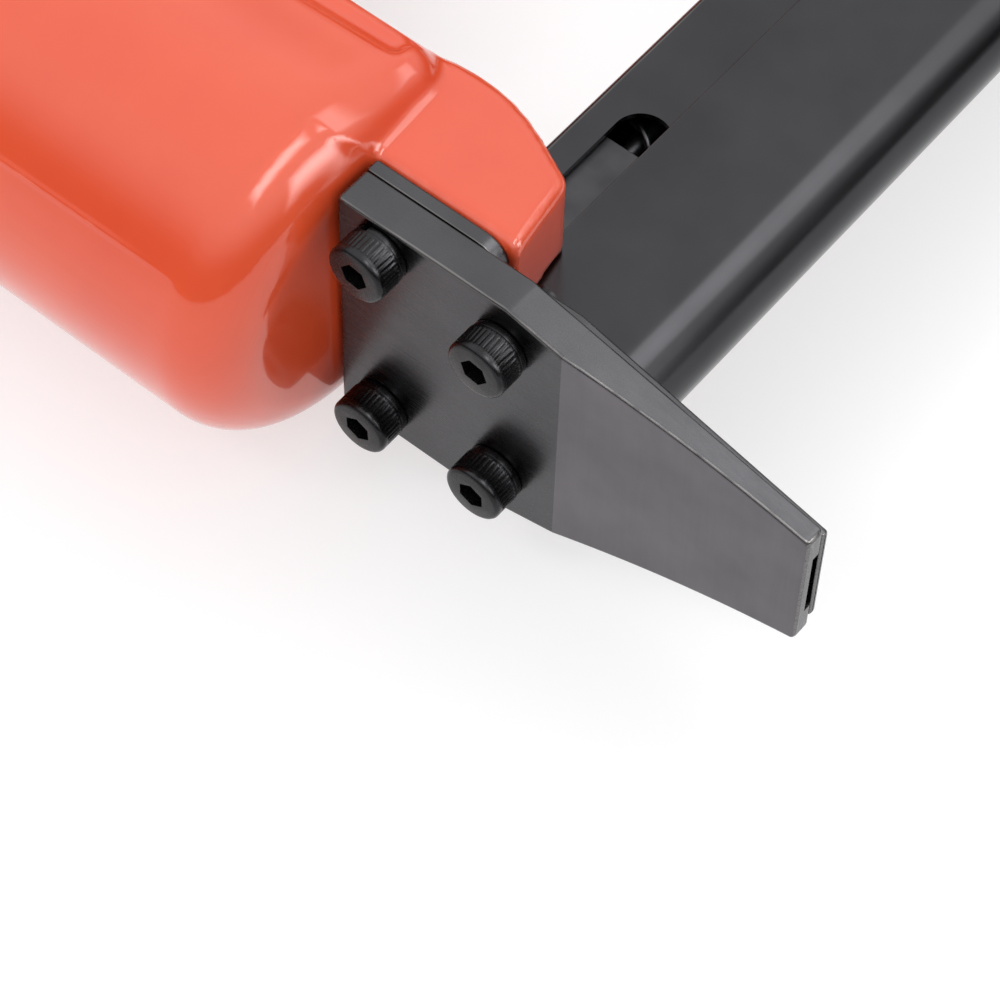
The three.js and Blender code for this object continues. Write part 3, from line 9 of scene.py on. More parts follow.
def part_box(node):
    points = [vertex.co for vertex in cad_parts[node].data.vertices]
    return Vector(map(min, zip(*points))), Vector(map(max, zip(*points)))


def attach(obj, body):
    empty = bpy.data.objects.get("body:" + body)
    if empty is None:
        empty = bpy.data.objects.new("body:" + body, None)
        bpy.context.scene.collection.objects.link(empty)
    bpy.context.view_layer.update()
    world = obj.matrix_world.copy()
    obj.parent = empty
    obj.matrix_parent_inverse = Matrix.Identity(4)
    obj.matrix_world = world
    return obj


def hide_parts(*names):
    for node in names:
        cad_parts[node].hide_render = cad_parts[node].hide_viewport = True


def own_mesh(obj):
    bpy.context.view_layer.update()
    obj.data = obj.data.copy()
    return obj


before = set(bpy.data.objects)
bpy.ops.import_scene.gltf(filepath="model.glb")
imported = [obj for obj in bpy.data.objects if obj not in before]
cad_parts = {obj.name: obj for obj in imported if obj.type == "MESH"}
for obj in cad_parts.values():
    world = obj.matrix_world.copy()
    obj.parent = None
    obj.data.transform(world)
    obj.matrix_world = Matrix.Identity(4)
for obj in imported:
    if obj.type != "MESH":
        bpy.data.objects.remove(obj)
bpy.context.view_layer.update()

# The tool's own frame, in which the pieces are drawn in millimetres: x runs back from the nose plate's front
# face, y up from that plate's top end, z out of the tool's middle plane.
MILLIMETRE = 0.001
plate_low, plate_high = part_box("front_nose_plate")
tool_origin = Vector((plate_low.x, plate_high.y, (plate_low.z + plate_high.z) / 2))


def box_of(node):
    """The lowest and highest corner of a CAD node in the tool's frame, in millimetres."""
    return [np.array((corner - tool_origin) / MILLIMETRE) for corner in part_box(node)]


# Body casting: one magnesium casting with the cylinder housing, the spine and lug that carry the nose, and
# the hollow handle. Cast with soft edges, machined on its end faces and in its bores, then sprayed coral red.
HOUSING_RADIUS = (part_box("body_casting")[1].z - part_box("body_casting")[0].z) / 2 / MILLIMETRE
SLEEVE_LOW, SLEEVE_HIGH = box_of("cylinder_sleeve")
AXIS_X = (SLEEVE_LOW[0] + SLEEVE_HIGH[0]) / 2
HOUSING_END, HOUSING_END_ROUND, HOUSING_TOP = 0.6, 8, 80
BORE_RADIUS, BORE_FLOOR = 19.4, 7.6
TOP_FLANGE_Y, TOP_FLANGE_CORNER, CAST_EDGE = 65, 6, 1.2
SPINE_REAR, SPINE_HALF, SPINE_CORNER, SPINE_END = 21, 21.3, 4.5, 1.2
LUG_FRONT, LUG_HALF = 6.55, 18.1
LUG_SIDE = [(LUG_FRONT, 8.6), (LUG_FRONT, -18.5), (17, -16.9, 2.2), (23.7, -3.5, 22), (20.4, 8.6)]
SPINE_GROOVE_X, SPINE_GROOVE_Z, SPINE_GROOVE_RADIUS, SPINE_GROOVE_LEAN = 18, 21.9, 1.9, -0.03
HANDLE_HALF, HANDLE_EDGE, HANDLE_CUT = 15.5, 9, 166
HANDLE_SIDE = [
    (AXIS_X, 79), (AXIS_X, 45), (65, 45, 18), (74, 49.5, 18), (121, 51, 300), (177, 47), (177, 77),
    (121, 77.5, 400),
]
CHAMBER_Y, CHAMBER_RADIUS, CHAMBER_FRONT = 63.6, 10.4, 12
END_FLANGE_FRONT, HANDLE_END, END_FLANGE_HALF, END_FLANGE_CORNER = 157, 168, 17.2, 7
PIVOT_X, PIVOT_Y, EAR_RADIUS, EAR_LOW, EAR_THICKNESS = 33, 39.6, 5.4, 6.9, 3.2
VALVE_X, VALVE_PAD_RADIUS, HANDLE_ROOT = 46, 10.5, 45
MAGAZINE_HALF, MAGAZINE_CUT_Y = 6.65, -5.7
PARTING_TURN, PARTING_HEIGHT, PARTING_HALF_WIDTH, PARTING_FADE = math.radians(147.8), 0.16, 0.4, 10
NOSE_HOLES = [(-5.9, 13.8), (-5.9, -13.8)]
CAP_SPREAD, CAP_HOLE, END_SPREAD, SMALL_HOLE = 18.4, 2.55, 12.9, 2.15
BRACKET_HOLES, BRACKET_HOLE = [(160.4, 4.2), (160.4, -4.2)], 2.05
BLADE_SLOT, PIVOT_HOLE, VALVE_BORES = (0.65, 4.95), 1.9, [(6.45, 66.3), (8.3, 46.45)]
NOSE_HOLE_FLOOR, END_HOLE_DEPTH, CAP_HOLE_FLOOR, BRACKET_HOLE_ROOF = 16.3, 8.3, 67, 51.7
MAGAZINE_CUT_HALF, LEVEL_TOP_END, DRILL_RUN = 30, 146, 9
SPINE_FILLET, FLANGE_FILLET, LUG_FILLET, HANDLE_FILLET, END_FILLET = 2, 1, 1.2, 3, 0.8
CAST_GROOVE_EDGE, PAD_EDGE, EAR_EDGE, MACHINED_EDGE = 0.8, 0.6, 0.5, 0.4
BODY_PITCH, HOLE_PITCHES, NOSE_PITCH = 0.8, [(-13.6, -10.6, 0.4), (10.6, 13.6, 0.4)], (-17.2, -12.8, 0.4)
LUG_FACE_PITCH = (2.6, 5.6, 0.3)


def add_node(tree, kind, inputs=None, **properties):
    """Adds a node with its settings, its input values and its links."""
    made = tree.nodes.new(kind)
    for name, value in properties.items():
        setattr(made, name, value)
    for name, value in (inputs or {}).items():
        if isinstance(value, bpy.types.NodeSocket):
            tree.links.new(value, made.inputs[name])
        else:
            made.inputs[name].default_value = value
    return made


def colour(code):
    """A hex sRGB colour as the linear values that a socket takes."""
    parts = [int(code[i : i + 2], 16) / 255 for i in (1, 3, 5)]
    return (*[v / 12.92 if v <= 0.04045 else ((v + 0.055) / 1.055) ** 2.4 for v in parts], 1)


def finish_of(
    name, tones, patch, grain, rough, relief, stretch=(1, 1, 1), worn=None, wear=(0.5, 0.9), **fixed
):
    """A finish whose colour drifts between two tones in patches, with a fine grain in its gloss and relief.
    Patch, grain and relief are in millimetres, stretch draws the grain out, worn is the tone of rubs."""
    material = bpy.data.materials.new(name)
    material.use_nodes = True
    tree = material.node_tree
    shader = tree.nodes["Principled BSDF"]
    place = add_node(tree, "ShaderNodeTexCoord").outputs["Object"]
    drawn = add_node(tree, "ShaderNodeMapping", {"Vector": place, "Scale": stretch}).outputs["Vector"]
    drift = add_node(
        tree, "ShaderNodeTexNoise", {"Vector": place, "Scale": 1 / (patch * MILLIMETRE), "Detail": 3}
    )
    fine = add_node(
        tree, "ShaderNodeTexNoise", {"Vector": drawn, "Scale": 1 / (grain * MILLIMETRE), "Detail": 4}
    )
    spread = add_node(
        tree, "ShaderNodeMapRange", {"Value": drift.outputs["Fac"], "From Min": 0.3, "From Max": 0.7}
    )
    dark, light = map(colour, tones)
    tone = add_node(
        tree, "ShaderNodeMix", {0: spread.outputs["Result"], 6: dark, 7: light}, data_type="RGBA"
    ).outputs[2]
    if worn:
        edge = add_node(tree, "ShaderNodeAttribute", attribute_name="edge").outputs["Fac"]
        patchy = add_node(tree, "ShaderNodeMath", {0: edge, 1: fine.outputs["Fac"]}, operation="MULTIPLY")
        rubbed = add_node(
            tree,
            "ShaderNodeMapRange",
            {"Value": patchy.outputs[0], "From Min": wear[0] / 2, "From Max": wear[1] / 2},
        )
        tone = add_node(
            tree, "ShaderNodeMix", {0: rubbed.outputs["Result"], 6: tone, 7: colour(worn)}, data_type="RGBA"
        ).outputs[2]
    gloss = add_node(
        tree, "ShaderNodeMapRange", {"Value": fine.outputs["Fac"], "To Min": rough[0], "To Max": rough[1]}
    )
    bump = add_node(
        tree, "ShaderNodeBump",
        {"Height": fine.outputs["Fac"], "Distance": relief * MILLIMETRE, "Strength": 1},
    )
    tree.links.new(tone, shader.inputs["Base Color"])
    tree.links.new(gloss.outputs["Result"], shader.inputs["Roughness"])
    tree.links.new(bump.outputs["Normal"], shader.inputs["Normal"])
    for socket, value in fixed.items():
        shader.inputs[socket.replace("_", " ")].default_value = value
    return material


def fit(piece, material, slot, body, *nodes):
    """Gives a piece its finish and its body, and has it stand for the CAD nodes that it replaces."""
    piece.data.materials.clear()
    piece.data.materials.append(material)
    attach(piece, body)
    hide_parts(*nodes)
    return piece


def outline(points, steps=6):
    """A closed outline of [across, up] points, counter-clockwise. A point with a third value, a radius, is
    an arc. The third column of the result is 1 on the inner points of an arc, where an edge is rubbed."""
    drawn = []
    for i, (u, v, *radius) in enumerate(points):
        here = Vector((u, v))
        if not radius:
            drawn.append((u, v, 0))
            continue
        to_before = (Vector(points[i - 1][:2]) - here).normalized()
        to_after = (Vector(points[(i + 1) % len(points)][:2]) - here).normalized()
        half = math.acos(max(-1, min(1, to_before.dot(to_after)))) / 2
        centre = here + (to_before + to_after).normalized() * radius[0] / math.sin(half)
        start = here + to_before * radius[0] / math.tan(half) - centre
        stop = here + to_after * radius[0] / math.tan(half) - centre
        turn = math.atan2(start.x * stop.y - start.y * stop.x, start.dot(stop))
        for k in range(steps + 1):
            a = math.atan2(start.y, start.x) + turn * k / steps
            drawn.append(
                (centre.x + radius[0] * math.cos(a), centre.y + radius[0] * math.sin(a), 0 < k < steps)
            )
    drawn = np.array(drawn, float)
    area = (drawn[:, 0] * np.roll(drawn[:, 1], -1) - np.roll(drawn[:, 0], -1) * drawn[:, 1]).sum()
    return drawn if area > 0 else drawn[::-1]


def inside_outline(u, v, points):
    """The distance to a closed outline, less than 0 inside it."""
    nearest, odd = np.inf, False
    for (u0, v0), (u1, v1) in zip(points[:, :2], np.roll(points[:, :2], -1, axis=0)):
        run, rise = u1 - u0, v1 - v0
        along = np.clip(((u - u0) * run + (v - v0) * rise) / (run * run + rise * rise), 0, 1)
        nearest = np.minimum(nearest, (u - u0 - along * run) ** 2 + (v - v0 - along * rise) ** 2)
        if rise:
            odd = odd ^ (((v0 <= v) != (v1 <= v)) & (u - u0 < (v - v0) * run / rise))
    return np.where(odd, -1, 1) * np.sqrt(nearest)


def inside_square(u, v, half_u, half_v, corner=0):
    """The distance to a rectangle about 0 with rounded corners."""
    over_u, over_v = np.abs(u) - half_u + corner, np.abs(v) - half_v + corner
    outside = np.hypot(np.maximum(over_u, 0), np.maximum(over_v, 0))
    return outside + np.minimum(np.maximum(over_u, over_v), 0) - corner


def between(section, along, low, high, edge=0.0):
    """A section drawn out from low to high, with its end edges rounded."""
    over, end = section + edge, np.abs(along - (low + high) / 2) - (high - low) / 2 + edge
    outside = np.hypot(np.maximum(over, 0), np.maximum(end, 0))
    return outside + np.minimum(np.maximum(over, end), 0) - edge


def joined(a, b, fillet):
    """Two solids in one, with a soft fillet where they meet."""
    reach = np.maximum(fillet - np.abs(a - b), 0) / fillet
    return np.minimum(a, b) - reach * reach * fillet / 4


def cut_from(a, b, edge=0.5):
    """A solid less another one, with a soft edge."""
    return -joined(-a, b, edge)


def planes(low, high, pitch, fine=()):
    """Grid planes at an even pitch, closer together in the fine stretches (low, high, step)."""
    places = np.arange(low, high + pitch, pitch)
    for start, stop, step in fine:
        kept = places[(places < start - step / 2) | (places > stop + step / 2)]
        places = np.sort(np.append(kept, np.arange(start, stop + step / 2, step)))
    return places


def piece_from(name, points, faces, edge=None, sharp=None):
    """A mesh object from points in the tool's frame, smooth but for edges past an angle in degrees."""
    mesh = bpy.data.meshes.new(name)
    mesh.from_pydata((np.asarray(points) * MILLIMETRE + np.array(tool_origin)).tolist(), [], faces)
    if edge is not None:
        mesh.attributes.new("edge", "FLOAT", "POINT").data.foreach_set("value", np.asarray(edge, np.float32))
    if sharp:
        work = bmesh.new()
        work.from_mesh(mesh)
        bmesh.ops.remove_doubles(work, verts=work.verts, dist=1e-7)
        bmesh.ops.recalc_face_normals(work, faces=work.faces)
        work.to_mesh(mesh)
        work.free()
    mesh.polygons.foreach_set("use_smooth", [True] * len(mesh.polygons))
    if sharp:
        mesh.set_sharp_from_angle(angle=math.radians(sharp))
    piece = bpy.data.objects.new(name, mesh)
    bpy.context.scene.collection.objects.link(piece)
    return piece


def cast_piece(name, shape, x, y, z, rubbed=0.8):
    """The closed surface on which shape(x, y, z), a distance, is 0: one point in each grid cell that the
    surface passes, moved on to it. The points' edge value is how sharply the surface bends outwards there."""
    field = np.broadcast_to(
        shape(x[:, None, None], y[None, :, None], z[None, None, :]), (len(x), len(y), len(z))
    )
    inside = field < 0
    corners = [(a, b, c) for a in (0, 1) for b in (0, 1) for c in (0, 1)]
    cells = sum(
        inside[a : len(x) - 1 + a, b : len(y) - 1 + b, c : len(z) - 1 + c].astype(np.int8)
        for a, b, c in corners
    )
    i, j, k = np.nonzero((cells > 0) & (cells < 8))
    values = [field[i + a, j + b, k + c] for a, b, c in corners]
    places = [np.stack([x[i + a], y[j + b], z[k + c]], 1) for a, b, c in corners]
    points, passed = np.zeros((len(i), 3)), np.zeros((len(i), 1))
    for p in range(8):
        for q in range(p + 1, 8):
            if sum(abs(s - t) for s, t in zip(corners[p], corners[q])) == 1:
                passes = (values[p] < 0) != (values[q] < 0)
                share = values[p] / np.where(passes, values[p] - values[q], 1)
                points += (passes * share)[:, None] * (places[q] - places[p]) + passes[:, None] * places[p]
                passed += passes[:, None]
    points /= passed
    pitch = np.diff(y).min()
    near = pitch / 20
    for _ in range(3):
        here = shape(*points.T)
        slope = np.stack([(shape(*(points + near * axis).T) - here) / near for axis in np.eye(3)], 1)
        step = here[:, None] * slope / np.maximum((slope**2).sum(1), 0.25)[:, None]
        points -= np.clip(step, -pitch / 2, pitch / 2)
    around = sum(shape(*(points + side * rubbed * axis).T) for axis in np.eye(3) for side in (1, -1))
    edge = np.clip((around - 6 * shape(*points.T)) / rubbed, 0, 1)

    number = np.full(cells.shape, -1)
    number[i, j, k] = np.arange(len(i))
    faces = []
    for axis in range(3):
        order = [axis] + [other for other in range(3) if other != axis]
        solid, cell = inside.transpose(order), number.transpose(order)
        starts, stops = solid[:-1, 1:-1, 1:-1], solid[1:, 1:-1, 1:-1]
        a, b, c = np.nonzero(starts != stops)
        ring = np.stack([cell[a, b, c], cell[a, b + 1, c], cell[a, b + 1, c + 1], cell[a, b, c + 1]], 1)
        turned = starts[a, b, c] == (axis == 1)
        ring[turned] = ring[turned, ::-1]
        faces.append(ring)
    return piece_from(name, points, np.concatenate(faces).tolist(), edge=edge)


def ear_outline(x, end_y, radius, root_y, corner):
    """An ear that stands out from its root at one height, with a rounded end at another."""
    corners = [(x - radius, end_y, corner), (x + radius, end_y, corner)]
    return outline([(x - radius, root_y), *corners, (x + radius, root_y)])


lug_side, handle_side = outline(LUG_SIDE), outline(HANDLE_SIDE)
spine_section = outline(
    [
        (AXIS_X, -SPINE_HALF), (SPINE_REAR, -SPINE_HALF, SPINE_CORNER),
        (SPINE_REAR, SPINE_HALF, SPINE_CORNER), (AXIS_X, SPINE_HALF),
    ]
)
ear_side = ear_outline(
    PIVOT_X, PIVOT_Y - EAR_RADIUS, EAR_RADIUS, HANDLE_ROOT + HANDLE_EDGE, EAR_RADIUS - 0.01
)


def body_shape(x, y, z):
    """The casting: barrel and spine, then flange, lug, handle, pad and ears, less what is bored and drilled.
    A fine ridge stands along the barrel where the halves of the mould met. It fades out at the end."""
    across, side = np.hypot(x - AXIS_X, z), np.abs(z)
    off_line = (np.arctan2(side, x - AXIS_X) - PARTING_TURN) * HOUSING_RADIUS
    parting = PARTING_HEIGHT * np.exp(-((off_line / PARTING_HALF_WIDTH) ** 2))
    parting = parting * np.clip((y - HOUSING_END_ROUND) / PARTING_FADE, 0, 1)
    barrel = between(across - HOUSING_RADIUS, y, HOUSING_END, 2 * HOUSING_TOP, HOUSING_END_ROUND) - parting
    spine = inside_outline(x, z, spine_section)
    spine = between(spine, y, SPINE_END, TOP_FLANGE_Y + SPINE_CORNER, SPINE_CORNER)
    flange = between(
        inside_square(x - AXIS_X, z, HOUSING_RADIUS, HOUSING_RADIUS, TOP_FLANGE_CORNER),
        y, TOP_FLANGE_Y, HOUSING_TOP, CAST_EDGE,
    )
    groove_x = SPINE_GROOVE_X + SPINE_GROOVE_LEAN * (y - HOUSING_END_ROUND)
    groove = np.hypot(x - groove_x, side - SPINE_GROOVE_Z) - SPINE_GROOVE_RADIUS
    groove = between(groove, y, SPINE_CORNER + 1, TOP_FLANGE_Y - 1, SPINE_GROOVE_RADIUS - 0.1)
    housing = cut_from(joined(barrel, spine, SPINE_FILLET), groove, CAST_GROOVE_EDGE)
    housing = joined(housing, flange, FLANGE_FILLET)
    housing = np.maximum(housing, np.maximum(np.abs(x - AXIS_X), side) - HOUSING_RADIUS)
    lug = between(inside_outline(x, y, lug_side), z, -LUG_HALF, LUG_HALF, CAST_EDGE)
    handle = between(inside_outline(x, y, handle_side), z, -HANDLE_HALF, HANDLE_HALF, HANDLE_EDGE)
    handle = np.maximum(handle, x - HANDLE_CUT)
    end_flange = between(
        inside_square(y - CHAMBER_Y, z, END_FLANGE_HALF, END_FLANGE_HALF, END_FLANGE_CORNER),
        x, END_FLANGE_FRONT, HANDLE_END, END_FILLET,
    )
    pad = between(np.hypot(x - VALVE_X, z) - VALVE_PAD_RADIUS, y, HANDLE_ROOT, CHAMBER_Y, PAD_EDGE)
    ears = between(inside_outline(x, y, ear_side), side, EAR_LOW, EAR_LOW + EAR_THICKNESS, EAR_EDGE)
    whole = joined(joined(housing, lug, LUG_FILLET), handle, HANDLE_FILLET)
    whole = joined(whole, end_flange, END_FILLET)
    whole = joined(joined(whole, pad, FLANGE_FILLET), ears, FLANGE_FILLET)
    whole = np.maximum(whole, y - np.where(x < LEVEL_TOP_END, HOUSING_TOP, 2 * HOUSING_TOP))

    from_valve = np.hypot(x - VALVE_X, z)
    nose_hole = np.hypot(y - NOSE_HOLES[0][0], side - NOSE_HOLES[0][1]) - SMALL_HOLE
    cap_hole = np.hypot(np.abs(x - AXIS_X) - CAP_SPREAD, side - CAP_SPREAD) - CAP_HOLE
    end_hole = np.hypot(np.abs(y - CHAMBER_Y) - END_SPREAD, side - END_SPREAD) - SMALL_HOLE
    bracket_hole = np.hypot(x - BRACKET_HOLES[0][0], side - BRACKET_HOLES[0][1]) - BRACKET_HOLE
    magazine_cut = inside_square(
        y - MAGAZINE_CUT_Y + MAGAZINE_CUT_HALF, z, MAGAZINE_CUT_HALF, MAGAZINE_HALF
    )
    holes = [
        between(across - BORE_RADIUS, y, BORE_FLOOR, 2 * HOUSING_TOP),
        between(inside_square(x - AXIS_X, z, *BLADE_SLOT), y, HOUSING_END - 2, BORE_FLOOR + 2),
        between(np.hypot(y - CHAMBER_Y, z) - CHAMBER_RADIUS, x, CHAMBER_FRONT, HANDLE_END + DRILL_RUN),
        *[between(from_valve - radius, y, HANDLE_ROOT - DRILL_RUN, roof) for radius, roof in VALVE_BORES],
        between(np.hypot(x - PIVOT_X, y - PIVOT_Y) - PIVOT_HOLE, z, -HANDLE_HALF, HANDLE_HALF),
        between(magazine_cut, x, 0, 2 * MAGAZINE_CUT_HALF),
        between(cap_hole, y, CAP_HOLE_FLOOR, HOUSING_TOP + 10),
        between(nose_hole, x, 4, NOSE_HOLE_FLOOR),
        between(end_hole, x, HANDLE_END - END_HOLE_DEPTH, HANDLE_END + DRILL_RUN),
        between(bracket_hole, y, 40, BRACKET_HOLE_ROOF),
    ]
    for hole in holes:
        whole = cut_from(whole, hole, MACHINED_EDGE)
    return whole


body = cast_piece(
    "body",
    body_shape,
    planes(AXIS_X - HOUSING_RADIUS - 1, HANDLE_END + 1, BODY_PITCH, [NOSE_PITCH, LUG_FACE_PITCH]),
    planes(-20, HOUSING_TOP + 2.2, BODY_PITCH),
    planes(-HOUSING_RADIUS - 1, HOUSING_RADIUS + 1, BODY_PITCH, HOLE_PITCHES),
)
# Sprayed two-part enamel, rubbed a little paler on its edges: a full red body under a hard clear gloss, with
# the faint orange peel of a spray gun, about 2 mm from crest to crest.
coral_enamel = finish_of(
    "sprayed_coral_enamel", ("#E44E29", "#E9552E"), 14, 2.2, (0.3, 0.36), 0.003,
    worn="#EE6244", wear=(0.5, 1.0), Coat_Weight=1.0, Coat_Roughness=0.07, Specular_IOR_Level=0.2,
)
fit(body, coral_enamel, "coral_paint", "housing", "body_casting")

# Nose plates: two flat steel plates screwed to the lug. The front one holds the driver's groove in its back
# and is hollow-ground towards its tip, the rear one closes the groove and lets the staples in. Both are
# milled and blackened.
PLATE_HALF, PLATE_THICK, PLATE_RIM = 18.1, 4.7, 0.45
SHOULDER_Y, TIP_Y, TIP_HALF = -22.2, -59.6, 9.1
SCOOP_Y, SCOOP_DEPTH = -29.6, 2.1
GROOVE_DEPTH, GROOVE_HALF = 1.3, 4.95
GUIDE_FRONT, GUIDE_THICK, GUIDE_Y, GUIDE_CORNER = 4.75, 1.75, -17.6, 3
GUIDE_RIM, GUIDE_FRONT_RIM = 0.3, 0.2
TONGUE_HALF, TONGUE_THICK, TONGUE_SHOULDER, TONGUE_TIP_HALF, TONGUE_TIP_THICK = 14, 2.2, -27, 7.6, 0.95
STEP_Y, STEP_RUN, SCOOP_RUN, WINDOW_Y = -18.8, 0.02, 0.05, (-33.5, -15.6)
PLATE_PITCH, GUIDE_PITCH, PLATE_SHARP, SHARP = 0.8, 1.5, 20, 34
LOWER_HOLES = [(-21.8, 11.4), (-21.8, -11.4)]


def turned_to(axis, u, v, w):
    """A point from a section's two values and its place along the axis it is drawn out on."""
    return {"x": (w, v, u), "y": (u, w, v), "z": (u, v, w)}[axis]


def rectangle(low_u, low_v, high_u, high_v, radii=(), steps=6):
    """The outline of a rectangle, with the radii of its corners, counter-clockwise from the low one."""
    corners = [(low_u, low_v), (high_u, low_v), (high_u, high_v), (low_u, high_v)]
    return outline([(*corner, *radii[n : n + 1]) for n, corner in enumerate(corners)], steps)


def skin(name, rings, marks, sharp=SHARP):
    """A closed skin over rings of points, with flat faces on its two ends. Marks are the edge values."""
    rings = np.array(rings, float)
    count, size = rings.shape[:2]
    faces = [
        (r * size + k, r * size + (k + 1) % size, (r + 1) * size + (k + 1) % size, (r + 1) * size + k)
        for r in range(count - 1)
        for k in range(size)
    ]
    faces += [tuple(range(size)), tuple(range((count - 1) * size, count * size))]
    return piece_from(name, rings.reshape(-1, 3), faces, edge=np.ravel(marks), sharp=sharp)


def levelled(piece):
    """Keeps flat faces level in the shading, where they meet a rounded rim."""
    piece.modifiers.new("level", "WEIGHTED_NORMAL").keep_sharp = True
    piece.data = bpy.data.meshes.new_from_object(piece.evaluated_get(bpy.context.evaluated_depsgraph_get()))
    piece.modifiers.clear()
    return piece


def cut_out(piece, cutters):
    """Cuts the cutters out of a piece and removes them."""
    for cutter in cutters:
        tool = piece.modifiers.new("cut", "BOOLEAN")
        tool.object, tool.operation, tool.solver = cutter, "DIFFERENCE", "EXACT"
    result = bpy.data.meshes.new_from_object(piece.evaluated_get(bpy.context.evaluated_depsgraph_get()))
    piece.modifiers.clear()
    piece.data = result
    result.polygons.foreach_set("use_smooth", [True] * len(result.polygons))
    result.set_sharp_from_angle(angle=math.radians(SHARP))
    for cutter in cutters:
        bpy.data.objects.remove(cutter)
    return levelled(piece)


def drawn_in(points, distance):
    """A counter-clockwise outline moved inwards by a distance."""
    edges = [
        points[:, :2] - np.roll(points[:, :2], 1, axis=0), np.roll(points[:, :2], -1, axis=0) - points[:, :2]
    ]
    before, after = [np.stack([e[:, 1], -e[:, 0]], 1) / np.linalg.norm(e, axis=1)[:, None] for e in edges]
    mitre = (before + after) / (1 + (before * after).sum(1))[:, None]
    return points[:, :2] - distance * mitre


def bar(name, section, axis, low, high, rim=0.0, steps=3):
    """A section drawn out along an axis, with its end edges rounded to a rim."""
    turns = [math.pi / 2 * k / steps for k in range(steps + 1)] if rim else []
    stations = [(low + rim * (1 - math.cos(a)), rim * (1 - math.sin(a))) for a in turns] or [(low, 0)]
    stations += [(low + high - place, draw) for place, draw in stations[::-1]]
    rings, marks = [], []
    for n, (place, draw) in enumerate(stations):
        rings.append([turned_to(axis, u, v, place) for u, v in drawn_in(section, draw)])
        rubbed = rim > 0 and 0 < n % (steps + 1) < steps
        marks.append(np.maximum(section[:, 2], rubbed))
    return skin(name, rings, marks)


def disc(radius, steps=48):
    """A round section."""
    turns = [2 * math.pi * k / steps for k in range(steps)]
    return np.array([(radius * math.cos(a), radius * math.sin(a), 0) for a in turns])


def plug(axis, radius, centre, low, high):
    """A round cutter along an axis, about a centre in the section's two values."""
    section = disc(radius)
    section[:, :2] += centre
    return bar("cutter", section, axis, low, high)


def rim_draw(y, top, bottom, rim):
    """How far a section is drawn in near the two ends of a plate, so that its end edges are rounded."""
    depth = max(0.0, rim - min(top - y, y - bottom))
    return rim - math.sqrt(max(rim * rim - depth * depth, 0))


def stations_of(top, bottom, rim, marks, pitch):
    """Places down a plate: close together in its rims, at each mark, and at a pitch in between."""
    ends = [rim * (1 - math.cos(math.pi / 2 * k / 3)) for k in range(4)]
    places = [top - e for e in ends] + [bottom + e for e in ends] + list(marks)
    places += [
        y for y in np.arange(bottom + pitch, top - rim, pitch) if min(abs(y - m) for m in places) > pitch / 3
    ]
    return sorted(set(places), reverse=True)


scoop_length = SCOOP_Y - TIP_Y
scoop_radius = (scoop_length**2 + SCOOP_DEPTH**2) / (2 * SCOOP_DEPTH)
rings, marks = [], []
scoop_ys = [SCOOP_Y + SCOOP_RUN, SCOOP_Y, SCOOP_Y - SCOOP_RUN]
for y in stations_of(0, TIP_Y, PLATE_RIM, [SHOULDER_Y] + scoop_ys, PLATE_PITCH):
    draw = rim_draw(y, 0, TIP_Y, PLATE_RIM)
    scooped = y < SCOOP_Y
    depth = SCOOP_DEPTH - scoop_radius + math.sqrt(scoop_radius**2 - (y - TIP_Y) ** 2) if scooped else 0
    half = np.interp(-y, [0, -SHOULDER_Y, -TIP_Y], [PLATE_HALF, PLATE_HALF, TIP_HALF]) - draw
    section = outline(
        [
            (half, depth + draw, PLATE_RIM), (half, PLATE_THICK - draw, GUIDE_RIM),
            (GROOVE_HALF, PLATE_THICK - draw), (GROOVE_HALF, PLATE_THICK - GROOVE_DEPTH),
            (-GROOVE_HALF, PLATE_THICK - GROOVE_DEPTH), (-GROOVE_HALF, PLATE_THICK - draw),
            (-half, PLATE_THICK - draw, GUIDE_RIM), (-half, depth + draw, PLATE_RIM),
        ],
        3,
    )
    rings.append([(x, y, z) for z, x, _ in section])
    marks.append(np.maximum(section[:, 2], 0 < draw < PLATE_RIM))
front_plate = cut_out(
    skin("nose_plate_front", rings, marks, PLATE_SHARP),
    [plug("x", SMALL_HOLE, (z, y), -2, PLATE_THICK + 2) for y, z in NOSE_HOLES + LOWER_HOLES],
)

guide_rings, guide_marks = [], []
corner_ys = [GUIDE_Y + GUIDE_CORNER * (1 - math.sin(math.pi / 2 * k / 6)) for k in range(7)]
step_ys = [STEP_Y, STEP_Y - STEP_RUN]
for y in stations_of(0, TIP_Y, GUIDE_RIM, corner_ys + [TONGUE_SHOULDER] + step_ys, GUIDE_PITCH):
    draw = rim_draw(y, 0, TIP_Y, GUIDE_RIM)
    thick = np.interp(
        -y, [0, -step_ys[0], -step_ys[1], -TONGUE_SHOULDER, -TIP_Y],
        [GUIDE_THICK, GUIDE_THICK, TONGUE_THICK, TONGUE_THICK, TONGUE_TIP_THICK],
    )
    over = max(0.0, GUIDE_Y + GUIDE_CORNER - y)
    wide = PLATE_HALF - GUIDE_CORNER + math.sqrt(max(GUIDE_CORNER**2 - over**2, 0))
    tongue = np.interp(-y, [0, -TONGUE_SHOULDER, -TIP_Y], [TONGUE_HALF, TONGUE_HALF, TONGUE_TIP_HALF])
    widths = [wide, tongue] if y == corner_ys[-1] else [wide if y > GUIDE_Y else tongue]
    for width in widths:
        section = outline(
            [
                (width - draw, GUIDE_FRONT + draw, GUIDE_FRONT_RIM),
                (width - draw, GUIDE_FRONT + thick - draw, GUIDE_RIM),
                (draw - width, GUIDE_FRONT + thick - draw, GUIDE_RIM),
                (draw - width, GUIDE_FRONT + draw, GUIDE_FRONT_RIM),
            ],
            3,
        )
        guide_rings.append([(x, y, z) for z, x, _ in section])
        guide_marks.append(np.maximum(section[:, 2], 0 < draw < GUIDE_RIM))
